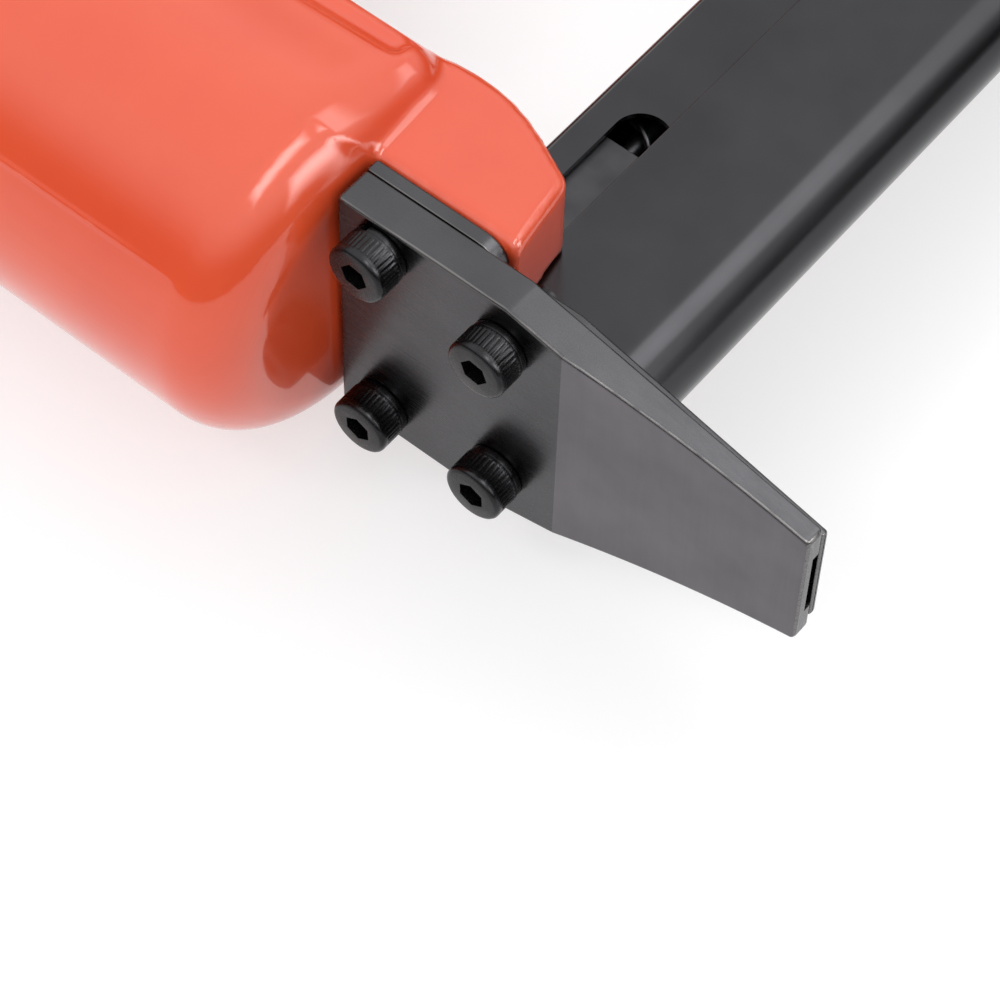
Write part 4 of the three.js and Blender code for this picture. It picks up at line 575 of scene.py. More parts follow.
window_side = rectangle(-GROOVE_HALF, WINDOW_Y[0], GROOVE_HALF, WINDOW_Y[1])
guide_plate = cut_out(
    skin("nose_plate_guide", guide_rings, guide_marks, PLATE_SHARP),
    [bar("cutter", window_side, "x", GUIDE_FRONT - 1, GUIDE_FRONT + TONGUE_THICK + 1)]
    + [plug("x", SMALL_HOLE, (z, y), 3, 9) for y, z in NOSE_HOLES + LOWER_HOLES],
)
# Ground tool steel, chemically blackened and oiled: a dark half-gloss metal with fine grinding lines down the
# plate, drawn a little coarser than the real 0.05 mm so that they show, and bare steel on rubbed edges.
blackened_steel = finish_of(
    "blackened_ground_steel", ("#464648", "#4E4E50"), 9, 0.5, (0.2, 0.34), 0.002,
    stretch=(1, 0.06, 1), worn="#6E6C6B", wear=(0.5, 1.0), Metallic=1.0,
)
# The scoop is ground last, across the plate, with cross grain. Its paler grey is a painted reflection, the
# lighter look its hollow takes under the light.
scoop_steel_with_painted_reflection = finish_of(
    "scoop_steel_with_painted_reflection", ("#605E61", "#6C696D"), 9, 0.5, (0.28, 0.42), 0.002,
    stretch=(1, 1, 0.06), Metallic=1.0,
)
fit(front_plate, blackened_steel, "black_steel", "housing", "front_nose_plate")
front_plate.data.materials.append(scoop_steel_with_painted_reflection)
# The scoop's front faces take the paler grey, a painted reflection.
for face in front_plate.data.polygons:
    if face.normal.x < -0.9 and face.center.y < tool_origin.y + SCOOP_Y * MILLIMETRE:
        face.material_index = 1
fit(guide_plate, blackened_steel, "black_steel", "housing", "guide_plate")

# Socket-head screws: turned alloy steel with a hexagonal recess and a knurled head, blackened. Four hold the
# nose plates, four the cylinder cap, four the end cap, three the bracket and one the deflector.
# Each way is the one its head points, then come head height, shank radius, socket and socket depth.
SCREWS = {
    "nose_screws_upper": ("-x", 3.4, 2, 3, 2.2, ["nose_screw_upper_left", "nose_screw_upper_right"]),
    "nose_screws_lower": ("-x", 3.4, 2, 3, 2.2, ["nose_screw_lower_left", "nose_screw_lower_right"]),
    "cap_screws": ("+y", 4.6, 2.4, 4, 2.8, [f"cap_screw_{n}" for n in (1, 2, 3, 4)]),
    "end_cap_screws": ("+x", 3.4, 2, 3, 2.2, [f"end_cap_screw_{n}" for n in (1, 2, 3, 4)]),
    "bracket_screws": ("-y", 2.4, 1.9, 2.5, 1.5, ["bracket_screw_1", "bracket_screw_2"]),
    "deflector_screws": ("+y", 2.2, 2, 3, 1.4, ["deflector_screw"]),
    "magazine_screws": ("+y", 2.4, 1.9, 2.5, 1.5, ["magazine_screw"]),
}
SCREW_TURNS = [0.35, 1.1, 0.62, 0.15]
HEAD_RIM_SHARE, HEAD_RIM_STEPS, SCREW_SIDES, SCREW_SHARP = 0.15, 4, 144, 30
KNURL_RIBS, KNURL_DEPTH_SHARE = 36, 0.03
HEAD_SIDE_SHARES, KNURL_RANGE = (0.1, 0.04, 0.68, 0.04, 0.14), (0.12, 0.84)


def tree_for(name, sizes):
    """An empty Geometry Nodes tree with a geometry input, one named input for each size, and an output."""
    tree = bpy.data.node_groups.new(name, "GeometryNodeTree")
    tree.interface.new_socket("Geometry", in_out="INPUT", socket_type="NodeSocketGeometry")
    for size, kind in sizes.items():
        tree.interface.new_socket(size, in_out="INPUT", socket_type="NodeSocket" + kind)
    tree.interface.new_socket("Geometry", in_out="OUTPUT", socket_type="NodeSocketGeometry")
    return tree, tree.nodes.new("NodeGroupInput").outputs


def end_tree(tree, geometry, material):
    """Ends a tree: its instances become real, and take their finish."""
    real = add_node(tree, "GeometryNodeRealizeInstances", {"Geometry": geometry})
    painted = add_node(tree, "GeometryNodeSetMaterial", {"Geometry": real.outputs[0], "Material": material})
    add_node(tree, "NodeGroupOutput", {"Geometry": painted.outputs[0]})


def grown(name, tree, points, turns, sharp, **sizes):
    """Runs a tree on loose points, each with its own turn, and keeps the result as a plain mesh."""
    mesh = bpy.data.meshes.new(name)
    mesh.from_pydata([tool_origin + Vector(p) * MILLIMETRE for p in points], [], [])
    mesh.attributes.new("turn", "FLOAT", "POINT").data.foreach_set("value", turns[: len(points)])
    piece = bpy.data.objects.new(name, mesh)
    bpy.context.scene.collection.objects.link(piece)
    growth = piece.modifiers.new("growth", "NODES")
    growth.node_group = tree
    for item in tree.interface.items_tree:
        if item.in_out == "INPUT" and item.name in sizes:
            growth[item.identifier] = sizes[item.name]
    result = bpy.data.meshes.new_from_object(piece.evaluated_get(bpy.context.evaluated_depsgraph_get()))
    piece.modifiers.clear()
    piece.data = result
    result.polygons.foreach_set("use_smooth", [True] * len(result.polygons))
    result.set_sharp_from_angle(angle=math.radians(sharp))
    return piece


def stand_on_points(tree, group, geometry):
    """Puts a geometry on each point, along the group's axis and turned about it by the point's turn."""
    upright = add_node(tree, "FunctionNodeAlignRotationToVector", {"Vector": group["Axis"]}, axis="Z")
    turn = add_node(tree, "GeometryNodeInputNamedAttribute", {"Name": "turn"}, data_type="FLOAT")
    about = add_node(tree, "FunctionNodeAxisAngleToRotation", {"Axis": (0, 0, 1), "Angle": turn.outputs[0]})
    both = add_node(
        tree, "FunctionNodeRotateRotation", {0: upright.outputs[0], 1: about.outputs[0]},
        rotation_space="LOCAL",
    )
    return add_node(
        tree,
        "GeometryNodeInstanceOnPoints",
        {"Points": group["Geometry"], "Instance": geometry, "Rotation": both.outputs[0]},
    ).outputs[0]


screw_tree, screw_in = tree_for(
    "socket_screw",
    {
        "Head Radius": "Float", "Head Height": "Float", "Shank Radius": "Float", "Length": "Float",
        "Socket": "Float", "Socket Depth": "Float", "Axis": "Vector", "Material": "Material",
    },
)
shank = add_node(
    screw_tree,
    "GeometryNodeMeshCylinder",
    {"Vertices": SCREW_SIDES, "Radius": screw_in["Shank Radius"], "Depth": screw_in["Length"]},
)
SCREW_SUMS = {
    "middle": ("MULTIPLY", screw_in["Length"], -0.5),
    "flare": ("DIVIDE", screw_in["Head Radius"], screw_in["Shank Radius"]),
    "rim": ("MULTIPLY", screw_in["Head Radius"], HEAD_RIM_SHARE),
    "across corners": ("MULTIPLY", screw_in["Socket"], 1 / math.sqrt(3)),
    "recess": ("MULTIPLY", screw_in["Socket Depth"], 2.0),
}
sums = {
    name: add_node(screw_tree, "ShaderNodeMath", {0: a, 1: b}, operation=how).outputs[0]
    for name, (how, a, b) in SCREW_SUMS.items()
}
lowered = add_node(screw_tree, "ShaderNodeCombineXYZ", {"Z": sums["middle"]})
seated = add_node(
    screw_tree, "GeometryNodeTransform",
    {"Geometry": shank.outputs["Mesh"], "Translation": lowered.outputs[0]},
)
screw, faces = seated.outputs[0], shank.outputs["Top"]
straight = add_node(
    screw_tree, "ShaderNodeMath", {0: screw_in["Head Height"], 1: sums["rim"]}, operation="SUBTRACT"
).outputs[0]
steps = [(0.0, sums["flare"])]
for share in HEAD_SIDE_SHARES:
    rise = add_node(screw_tree, "ShaderNodeMath", {0: straight, 1: share}, operation="MULTIPLY")
    steps.append((rise.outputs[0], 1.0))
rim_turns = [math.pi / 2 * k / HEAD_RIM_STEPS for k in range(HEAD_RIM_STEPS + 1)]
for before, after in zip(rim_turns, rim_turns[1:]):
    rise = add_node(
        screw_tree, "ShaderNodeMath", {0: sums["rim"], 1: math.sin(after) - math.sin(before)},
        operation="MULTIPLY",
    )
    widths = [1 - HEAD_RIM_SHARE * (1 - math.cos(a)) for a in (before, after)]
    steps.append((rise.outputs[0], widths[1] / widths[0]))
for rise, scale in steps:
    drawn = add_node(
        screw_tree, "GeometryNodeExtrudeMesh",
        {"Mesh": screw, "Selection": faces, "Offset Scale": rise, "Individual": False}, mode="FACES",
    )
    scaled = add_node(
        screw_tree, "GeometryNodeScaleElements",
        {"Geometry": drawn.outputs["Mesh"], "Selection": drawn.outputs["Top"], "Scale": scale}, domain="FACE",
    )
    screw, faces = scaled.outputs[0], drawn.outputs["Top"]
# The straight knurl is rolled into the head: in its stretch, the side is pressed in and out in even ribs.
spot = add_node(screw_tree, "GeometryNodeInputPosition").outputs[0]
spot_parts = add_node(screw_tree, "ShaderNodeSeparateXYZ", {0: spot}).outputs
spot_turn = add_node(
    screw_tree, "ShaderNodeMath", {0: spot_parts["Y"], 1: spot_parts["X"]}, operation="ARCTAN2"
)
ribs = add_node(screw_tree, "ShaderNodeMath", {0: spot_turn.outputs[0], 1: KNURL_RIBS}, operation="MULTIPLY")
wave = add_node(screw_tree, "ShaderNodeMath", {0: ribs.outputs[0]}, operation="COSINE")
press = add_node(
    screw_tree, "ShaderNodeMath",
    {0: wave.outputs[0], 1: KNURL_DEPTH_SHARE / 2, 2: 1 - KNURL_DEPTH_SHARE / 2},
    operation="MULTIPLY_ADD",
).outputs[0]
press_ways = add_node(screw_tree, "ShaderNodeCombineXYZ", {"X": press, "Y": press, "Z": 1.0})
pressed = add_node(
    screw_tree, "ShaderNodeVectorMath", {0: spot, 1: press_ways.outputs[0]}, operation="MULTIPLY"
)
limits = [
    add_node(screw_tree, "ShaderNodeMath", {0: straight, 1: share}, operation="MULTIPLY").outputs[0]
    for share in KNURL_RANGE
]
above = add_node(screw_tree, "ShaderNodeMath", {0: spot_parts["Z"], 1: limits[0]}, operation="GREATER_THAN")
below = add_node(screw_tree, "ShaderNodeMath", {0: spot_parts["Z"], 1: limits[1]}, operation="LESS_THAN")
knurled = add_node(
    screw_tree, "ShaderNodeMath", {0: above.outputs[0], 1: below.outputs[0]}, operation="MULTIPLY"
)
screw = add_node(
    screw_tree, "GeometryNodeSetPosition",
    {"Geometry": screw, "Selection": knurled.outputs[0], "Position": pressed.outputs[0]},
).outputs[0]
recess = add_node(
    screw_tree, "GeometryNodeMeshCylinder",
    {"Vertices": 6, "Radius": sums["across corners"], "Depth": sums["recess"]},
)
head_top = add_node(screw_tree, "ShaderNodeCombineXYZ", {"Z": screw_in["Head Height"]})
recess_place = add_node(
    screw_tree, "GeometryNodeTransform",
    {"Geometry": recess.outputs["Mesh"], "Translation": head_top.outputs[0]},
)
socketed = add_node(
    screw_tree, "GeometryNodeMeshBoolean", {"Mesh 1": screw, "Mesh 2": recess_place.outputs[0]},
    operation="DIFFERENCE", solver="EXACT",
)
end_tree(screw_tree, stand_on_points(screw_tree, screw_in, socketed.outputs["Mesh"]), screw_in["Material"])

# Alloy steel blackened and oiled: near black, glossier than the plates, with a trace of turning on its faces.
blackened_screw = finish_of(
    "blackened_alloy_screw", ("#262627", "#323234"), 2, 0.35, (0.2, 0.34), 0.002, Metallic=0.9
)
for name, (way, head_height, shank_radius, socket, socket_depth, nodes) in SCREWS.items():
    along, sign = "xyz".index(way[1]), 1 if way[0] == "+" else -1
    seats = []
    for node in nodes:
        low, high = box_of(node)
        top, bottom = (high, low) if sign > 0 else (low, high)
        seat = (low + high) / 2
        seat[along] = top[along] - sign * head_height
        seats.append(seat)
        length = abs(seat[along] - bottom[along])
        head_radius = (high - low)[along - 1] / 2
    axis = [float(sign * (n == along)) for n in range(3)]
    sizes = {
        "Head Radius": head_radius, "Head Height": head_height, "Shank Radius": shank_radius,
        "Length": length, "Socket": socket, "Socket Depth": socket_depth,
    }
    sizes = {size: value * MILLIMETRE for size, value in sizes.items()}
    screws = grown(
        name, screw_tree, seats, SCREW_TURNS, SCREW_SHARP, **sizes, Axis=axis, Material=blackened_screw
    )
    fit(screws, blackened_screw, "black_screw", "housing", *nodes)

# Split spring washers: square spring steel wire bent round and cut through, then blackened. One lies under
# each nose screw, each with its split turned another way, as they fall when the screws are driven home.
WASHER_THICK, WASHER_IN, WASHER_OUT, WASHER_SPLIT = 0.8, 2.3, 3.5, 0.7
WASHER_OUT_TO_MEAN, WASHER_STEPS, WASHER_EDGE, WASHER_SHARP = 1.2, 72, 0.12, 40
WASHER_TURNS = [math.radians(a) for a in (35, 150, 255, 80)]
washer_tree, washer_in = tree_for(
    "split_washer",
    {"Radius": "Float", "Width": "Float", "Thickness": "Float", "Sweep": "Float", "Axis": "Vector",
     "Material": "Material"},
)
bend = add_node(
    washer_tree, "GeometryNodeCurveArc",
    {"Resolution": WASHER_STEPS, "Radius": washer_in["Radius"], "Sweep Angle": washer_in["Sweep"]},
    mode="RADIUS",
)
wire = add_node(
    washer_tree, "GeometryNodeCurvePrimitiveQuadrilateral",
    {"Width": washer_in["Width"], "Height": washer_in["Thickness"]}, mode="RECTANGLE",
)
soft_wire = add_node(
    washer_tree, "GeometryNodeFilletCurve",
    {"Curve": wire.outputs[0], "Radius": WASHER_EDGE * MILLIMETRE, "Count": 3}, mode="POLY",
)
washer = add_node(
    washer_tree, "GeometryNodeCurveToMesh",
    {"Curve": bend.outputs[0], "Profile Curve": soft_wire.outputs[0], "Fill Caps": True},
)
end_tree(washer_tree, stand_on_points(washer_tree, washer_in, washer.outputs[0]), washer_in["Material"])
washer_nodes = [
    f"spring_washer_{place}" for place in ("upper_left", "upper_right", "lower_left", "lower_right")
]
low, high = box_of("spring_washer_upper_left")
washers = grown(
    "spring_washers", washer_tree, [((low[0] + high[0]) / 2, y, z) for y, z in NOSE_HOLES + LOWER_HOLES],
    WASHER_TURNS, WASHER_SHARP, Radius=(WASHER_IN + WASHER_OUT) / 2 * MILLIMETRE,
    Width=(WASHER_OUT - WASHER_IN) * MILLIMETRE, Thickness=WASHER_THICK * MILLIMETRE,
    Sweep=2 * math.pi - WASHER_SPLIT / WASHER_OUT * WASHER_OUT_TO_MEAN, Axis=[-1.0, 0.0, 0.0],
    Material=blackened_screw,
)
fit(washers, blackened_screw, "black_screw", "housing", *washer_nodes)

# Magazine: a fixed rail folded from sheet steel, with a round-ended window on each side, and the cover that
# slides on it, folded round at the bottom. Inside are the fin that the staples straddle, and the pusher.
RAIL_HALF, RAIL_TOP, RAIL_SKIRT, SHEET = 5.5, -6, -28, 0.7
RAIL_BEND, MAGAZINE_FRONT, RAIL_END = 1, 7.2, 190
SLOT_X, SLOT_TOP, SLOT_HEIGHT = (13, 37.9), -10.1, 6.8
COVER_HALF, COVER_TOP, COVER_ROUND, COVER_END = 6.35, -15.2, -29.1, 190.6
FIN_HALF, FIN_SHEET, FIN_END = 3.3, 0.8, 186
PUSHER_X, PUSHER_HALF, PUSHER_INSIDE, PUSHER_GAP = (9, 33), 4.4, 3.6, 0.3
COVER_LIP, ROD_Y, ROD_HOLE, FOOT_SCREW_X = 0.2, -11.4, 1.55, 176
SHEET_LIP, LEAST_BEND, SHEET_RIM, COVER_RIM, COVER_ROUND_STEPS = 0.15, 0.1, 0.1, 0.12, 32


def channel(half, sheet, top, skirt, bend):
    """The section of a channel open at the bottom, folded from sheet with rounded bends."""
    inside = half - sheet
    return outline(
        [
            (half, skirt, SHEET_LIP), (half, top, bend), (-half, top, bend), (-half, skirt, SHEET_LIP),
            (-inside, skirt, SHEET_LIP), (-inside, top - sheet, max(bend - sheet, LEAST_BEND)),
            (inside, top - sheet, max(bend - sheet, LEAST_BEND)), (inside, skirt, SHEET_LIP),
        ],
        5,
    )


slot_round = SLOT_HEIGHT / 2 - 0.01
slot_side = rectangle(
    SLOT_X[0], SLOT_TOP - SLOT_HEIGHT, SLOT_X[1], SLOT_TOP, (0.4, slot_round, slot_round, 0.4), 16
)
rail = cut_out(
    bar("magazine_rail_sheet", channel(RAIL_HALF, SHEET, RAIL_TOP, RAIL_SKIRT, RAIL_BEND), "x",
        MAGAZINE_FRONT, RAIL_END, SHEET_RIM, 2),
    [
        bar("cutter", slot_side, "z", -RAIL_HALF - 2, RAIL_HALF + 2),
        plug("y", BRACKET_HOLE, (FOOT_SCREW_X, 0), RAIL_TOP - 3, RAIL_TOP + 3),
    ],
)
round_turns = [math.pi * (1 + k / COVER_ROUND_STEPS) for k in range(COVER_ROUND_STEPS + 1)]
cover_inside = COVER_HALF - SHEET
cover_section = [(COVER_HALF, COVER_TOP), (cover_inside, COVER_TOP)]
cover_section += [
    (cover_inside * math.cos(a), cover_inside * math.sin(a) + COVER_ROUND) for a in round_turns[::-1]
]
cover_section += [(-cover_inside, COVER_TOP), (-COVER_HALF, COVER_TOP)]
cover_section += [(COVER_HALF * math.cos(a), COVER_HALF * math.sin(a) + COVER_ROUND) for a in round_turns]
cover_section = [(*point, COVER_LIP) if point[1] == COVER_TOP else point for point in cover_section]
cover = bar("magazine_cover_sheet", outline(cover_section, 4), "x", MAGAZINE_FRONT, COVER_END, COVER_RIM, 3)
fin_low, fin_high = box_of("staple_guide")
fin = bar(
    "staple_fin", channel(FIN_HALF, FIN_SHEET, fin_high[1], fin_low[1], 1), "x", MAGAZINE_FRONT, FIN_END,
    SHEET_RIM, 2,
)
pusher_low, pusher_high = box_of("pusher")
pusher = cut_out(
    bar(
        "staple_pusher",
        outline(
            [
                (PUSHER_HALF, pusher_low[1], 0.2), (PUSHER_HALF, pusher_high[1], 0.8),
                (-PUSHER_HALF, pusher_high[1], 0.8), (-PUSHER_HALF, pusher_low[1], 0.2),
                (-PUSHER_INSIDE, pusher_low[1], 0.2), (-PUSHER_INSIDE, fin_high[1] + PUSHER_GAP, 0.3),
                (PUSHER_INSIDE, fin_high[1] + PUSHER_GAP, 0.3), (PUSHER_INSIDE, pusher_low[1], 0.2),
            ],
            4,
        ),
        "x", *PUSHER_X, 0.15,
    ),
    [plug("x", ROD_HOLE, (0, ROD_Y), PUSHER_X[0] - 2, PUSHER_X[1] + 2)],
)
# Cold-rolled sheet, blackened after folding: a dark satin metal with faint rolling lines along its length and
# paler rubbed edges.
blackened_sheet = finish_of(
    "blackened_rolled_sheet", ("#38383A", "#3E3E40"), 12, 0.6, (0.16, 0.26), 0.001,
    stretch=(0.05, 1, 1), worn="#6C6A69", wear=(0.4, 0.9), Metallic=1.0,
)
# Case-hardened steel left grey from the furnace, for the pusher, its rod and its spring: darker and duller.
hardened_steel = finish_of(
    "grey_hardened_steel", ("#3C3C3E", "#48484A"), 4, 0.4, (0.3, 0.45), 0.002, Metallic=1.0
)
# Bright zinc-plated steel, slightly cloudy, for the fin, the pins, the blade, the plug and the other springs.
plated_steel = finish_of(
    "zinc_plated_steel", ("#A9ACB0", "#BDBFC2"), 5, 0.4, (0.22, 0.36), 0.0015, Metallic=1.0
)
fit(rail, blackened_sheet, "black_steel", "housing", "magazine_rail")
fit(levelled(cover), blackened_sheet, "black_steel", "magazine_cover", "magazine_cover")
fit(levelled(fin), plated_steel, "bright_steel", "magazine_cover", "staple_guide")
fit(pusher, hardened_steel, "bright_steel", "pusher", "pusher")

# Springs: each is wound from one length of hard-drawn wire in even curls. They press on the head valve, the
# trigger's valve stem, the pusher and the latch. Each axis is followed by curls,
# wire size, radius, the joint that shortens it, by how much, and the end that stays: 1 is the high one.
SPRINGS = {
    "head_valve_spring": ("y", 3, 1.2, 8.4, "head_valve_slide", 3.0, 1),
    "stem_spring": ("y", 5, 0.7, 2.2, "stem_slide", 2.03, 1),
    "pusher_spring": ("x", 18, 0.8, 2.5, "pusher_slide", 105.0, 1),
    "latch_spring": ("y", 3, 0.6, 2.0, "latch_hinge", 2.35, -1),
}
SPRING_BODY = {"latch_spring": "magazine_cover"}
SPRING_STEPS, WIRE_SIDES, SPRING_SHARP = 32, 10, 80
spring_tree, spring_in = tree_for(
    "wound_spring",
    {"Curls": "Float", "Radius": "Float", "Wire Radius": "Float", "Length": "Float", "Axis": "Vector",
     "Material": "Material"},
)
wind = add_node(
    spring_tree, "GeometryNodeCurveSpiral",
    {
        "Resolution": SPRING_STEPS, "Rotations": spring_in["Curls"], "Start Radius": spring_in["Radius"],
        "End Radius": spring_in["Radius"], "Height": spring_in["Length"],
    },
)
round_wire = add_node(
    spring_tree, "GeometryNodeCurvePrimitiveCircle",
    {"Resolution": WIRE_SIDES, "Radius": spring_in["Wire Radius"]},
)
wound = add_node(
    spring_tree, "GeometryNodeCurveToMesh",
    {"Curve": wind.outputs[0], "Profile Curve": round_wire.outputs[0], "Fill Caps": True},
)
end_tree(spring_tree, stand_on_points(spring_tree, spring_in, wound.outputs[0]), spring_in["Material"])
for node, (way, curls, wire_size, radius, joint, travel, fixed_end) in SPRINGS.items():
    low, high = box_of(node)
    along = "xyz".index(way)
    start, stop = (low + high) / 2, (low + high) / 2
    start[along], stop[along] = low[along] + wire_size / 2, high[along] - wire_size / 2
    axis = [float(n == along) for n in range(3)]
    wire_steel = hardened_steel if node == "pusher_spring" else plated_steel
    spring = grown(
        node + "_wire", spring_tree, [start], [0.0], SPRING_SHARP,
        **{
            "Curls": float(curls), "Radius": radius * MILLIMETRE, "Wire Radius": wire_size / 2 * MILLIMETRE,
            "Length": (stop[along] - start[along]) * MILLIMETRE, "Axis": axis, "Material": wire_steel,
        },
    )
    fit(spring, wire_steel, "bright_steel", SPRING_BODY.get(node, "housing"), node)
    length = high[along] - low[along]
    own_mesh(spring)

# Cylinder, valve, pins and air plug: round pieces from the lathe or from round moulds, drawn as closed
# profiles turned about their own axis. The driver blade is the one flat strip among them.
TURNED_STEPS, TURNED_SHARP, RING_SIDES = 96, 32, 16


def turned(name, profile, axis, centre, steps=TURNED_STEPS, flats=None):
    """A closed profile of (radius, place) points turned round an axis. Flats are (low, high, half across):
    the hexagon that the piece is milled to in that stretch."""
    points = outline(profile, 4)
    rings = []
    for k in range(steps):
        a = 2 * math.pi * k / steps
        for radius, place, _ in points:
            if flats and flats[0] - 0.01 < place < flats[1] + 0.01:
                radius = min(radius, flats[2] / math.cos((a + math.pi / 6) % (math.pi / 3) - math.pi / 6))
            u, v = radius * math.cos(a) + centre[0], radius * math.sin(a) + centre[1]
            rings.append(turned_to(axis, u, v, place))
    count = len(points)
    faces = [
        (k * count + n, k * count + (n + 1) % count, (k + 1) % steps * count + (n + 1) % count,
         (k + 1) % steps * count + n)
        for k in range(steps)
        for n in range(count)
        if points[n][0] > 1e-6 or points[(n + 1) % count][0] > 1e-6
    ]
    return piece_from(name, rings, faces, edge=np.tile(points[:, 2], steps), sharp=TURNED_SHARP)


def o_ring(name, node):
    """A moulded seal ring lying round the cylinder or the valve, inside its node's box."""
    low, high = box_of(node)
    section = (high[1] - low[1]) / 2
    mean = (high[0] - low[0]) / 2 - section
    round_section = [
        (mean + section * math.cos(a), (low[1] + high[1]) / 2 + section * math.sin(a))
        for a in [2 * math.pi * k / RING_SIDES for k in range(RING_SIDES)]
    ]
    return turned(name, round_section, "y", ((low[0] + high[0]) / 2, 0))


# Nitrile rubber from the mould: dull black with a fine stipple, greyer where it is rubbed.
moulded_rubber = finish_of(
    "moulded_nitrile_rubber", ("#161616", "#1E1E1F"), 6, 0.3, (0.6, 0.8), 0.006, worn="#2C2C2D"
)
# Aluminium straight from the lathe: a pale metal with rings of fine tool marks.
machined_aluminium = finish_of(
    "machined_aluminium", ("#B4B7BA", "#C6C8CA"), 8, 0.4, (0.24, 0.4), 0.002, stretch=(1, 12, 1), Metallic=1.0
)
# Polyurethane cast in an open mould: honey yellow, a little see-through, with a waxy half gloss.
cast_urethane = finish_of(
    "cast_urethane", ("#C29A42", "#CFA650"), 7, 0.5, (0.35, 0.5), 0.003, Subsurface_Weight=0.2,
    Subsurface_Scale=0.002,
)
# Brass from the lathe, with its tool marks, a little dulled by oil.
turned_brass = finish_of(
    "turned_brass", ("#B98F48", "#C79E58"), 5, 0.4, (0.2, 0.34), 0.0015, stretch=(1, 12, 1), Metallic=1.0
)
# Glass-filled nylon straight from the mould: a dark satin skin with the fine spark texture of the tool.
moulded_nylon = finish_of(
    "moulded_black_nylon", ("#1D1D1F", "#252527"), 10, 0.35, (0.42, 0.58), 0.008, worn="#3A3A3C"
)
CYLINDER_CENTRE, RETURN_HOLE_YS, RETURN_HOLE = (AXIS_X, 0), (37, 13.5), 1.2
PISTON_GROOVE_LOW, PISTON_GROOVE_HIGH, PISTON_GROOVE_DEPTH, DRIVER_PIN_RISE = 9, 11.6, 1.8, 4
PISTON_PIN_HOLE, BLADE_PIN_HOLE, BUMPER_HOLE, BUMPER_WAIST = 1.65, 1.8, 5.6, 2.3
SLEEVE_SEAT, SLEEVE_OUT, SLEEVE_IN, SLEEVE_FOOT_RISE = 19.1, 17.4, 15, 3.2
SEAL_SEAT, SEAL_GROOVE, SEAL_GROOVE_RADIUS = (44, 51), (46.3, 48.7), 17.5
HEAD_DISC_RISE, HEAD_STEM_RADIUS, VALVE_PORT, VALVE_PORT_Y = 4.4, 5, 1.2, 59
sleeve_foot, sleeve_top = SLEEVE_LOW[1], SLEEVE_HIGH[1]
sleeve_profile = [
    (SLEEVE_IN, sleeve_foot, 0.3), (SLEEVE_SEAT, sleeve_foot, 0.3),
    (SLEEVE_SEAT, sleeve_foot + SLEEVE_FOOT_RISE, 0.3), (SLEEVE_OUT, sleeve_foot + SLEEVE_FOOT_RISE, 0.6),
    (SLEEVE_OUT, SEAL_SEAT[0], 0.6), (SLEEVE_SEAT, SEAL_SEAT[0], 0.3), (SLEEVE_SEAT, SEAL_GROOVE[0]),
    (SEAL_GROOVE_RADIUS, SEAL_GROOVE[0]), (SEAL_GROOVE_RADIUS, SEAL_GROOVE[1]),
    (SLEEVE_SEAT, SEAL_GROOVE[1]), (SLEEVE_SEAT, SEAL_SEAT[1], 0.3), (SLEEVE_OUT, SEAL_SEAT[1], 0.6),
    (SLEEVE_OUT, sleeve_top, 0.3), (SLEEVE_IN, sleeve_top, 0.3),
]
sleeve = turned("sleeve_tube", sleeve_profile, "y", CYLINDER_CENTRE)
return_holes = []
for hole_y in RETURN_HOLE_YS:
    for k in range(3):
        a = math.pi * k / 3
        hole = plug("x", RETURN_HOLE, (0, hole_y), -24, 24)
        hole.data.transform(Matrix.Translation(-tool_origin))
        hole.data.transform(Matrix.Rotation(a, 4, "Y"))
        hole.data.transform(Matrix.Translation(tool_origin + Vector((AXIS_X, 0, 0)) * MILLIMETRE))
        return_holes.append(hole)
fit(cut_out(sleeve, return_holes), machined_aluminium, "plain_aluminium", "housing", "cylinder_sleeve")
bumper_low, bumper_high = box_of("bumper")
bumper_radius = (bumper_high[0] - bumper_low[0]) / 2
bumper_profile = [
    (BUMPER_HOLE, bumper_low[1], 0.5), (bumper_radius, bumper_low[1], 0.8),
    (bumper_radius - BUMPER_WAIST, (bumper_low[1] + bumper_high[1]) / 2, 5), (bumper_radius, bumper_high[1], 0.8),
    (BUMPER_HOLE, bumper_high[1], 0.5),
]
bumper = turned("stop_bumper", bumper_profile, "y", CYLINDER_CENTRE)
fit(bumper, cast_urethane, "bumper_urethane", "housing", "bumper")
piston_low, piston_high = box_of("piston")
piston_radius, piston_foot, piston_top = (piston_high[0] - piston_low[0]) / 2, piston_low[1], piston_high[1]
ring_low, ring_high = piston_foot + PISTON_GROOVE_LOW, piston_foot + PISTON_GROOVE_HIGH
ring_seat = piston_radius - PISTON_GROOVE_DEPTH
piston_profile = [
    (0, piston_foot), (piston_radius, piston_foot, 0.6), (piston_radius, ring_low), (ring_seat, ring_low),
    (ring_seat, ring_high), (piston_radius, ring_high), (piston_radius, piston_top, 0.6),
    (9.5, piston_top, 0.5), (6.5, piston_top - 3, 0.8), (0, piston_top - 3),
]
blade_slot = rectangle(AXIS_X - BLADE_SLOT[0], -5, AXIS_X + BLADE_SLOT[0], 5)
piston = cut_out(
    turned("piston_head", piston_profile, "y", CYLINDER_CENTRE),
    [
        bar("cutter", blade_slot, "y", piston_foot - 2, piston_foot + 8),
        plug("x", PISTON_PIN_HOLE, (0, piston_foot + DRIVER_PIN_RISE), -20, 30),
    ],
)
fit(piston, machined_aluminium, "plain_aluminium", "driver", "piston")
valve_low, valve_high = box_of("head_valve")
head_radius = (valve_high[0] - valve_low[0]) / 2
head_profile = [
    (0, valve_low[1]), (head_radius, valve_low[1], 0.4),
    (head_radius, valve_low[1] + HEAD_DISC_RISE, 0.4),
    (HEAD_STEM_RADIUS, valve_low[1] + HEAD_DISC_RISE, 0.6),
    (HEAD_STEM_RADIUS, valve_high[1], 0.4), (0, valve_high[1]),
]
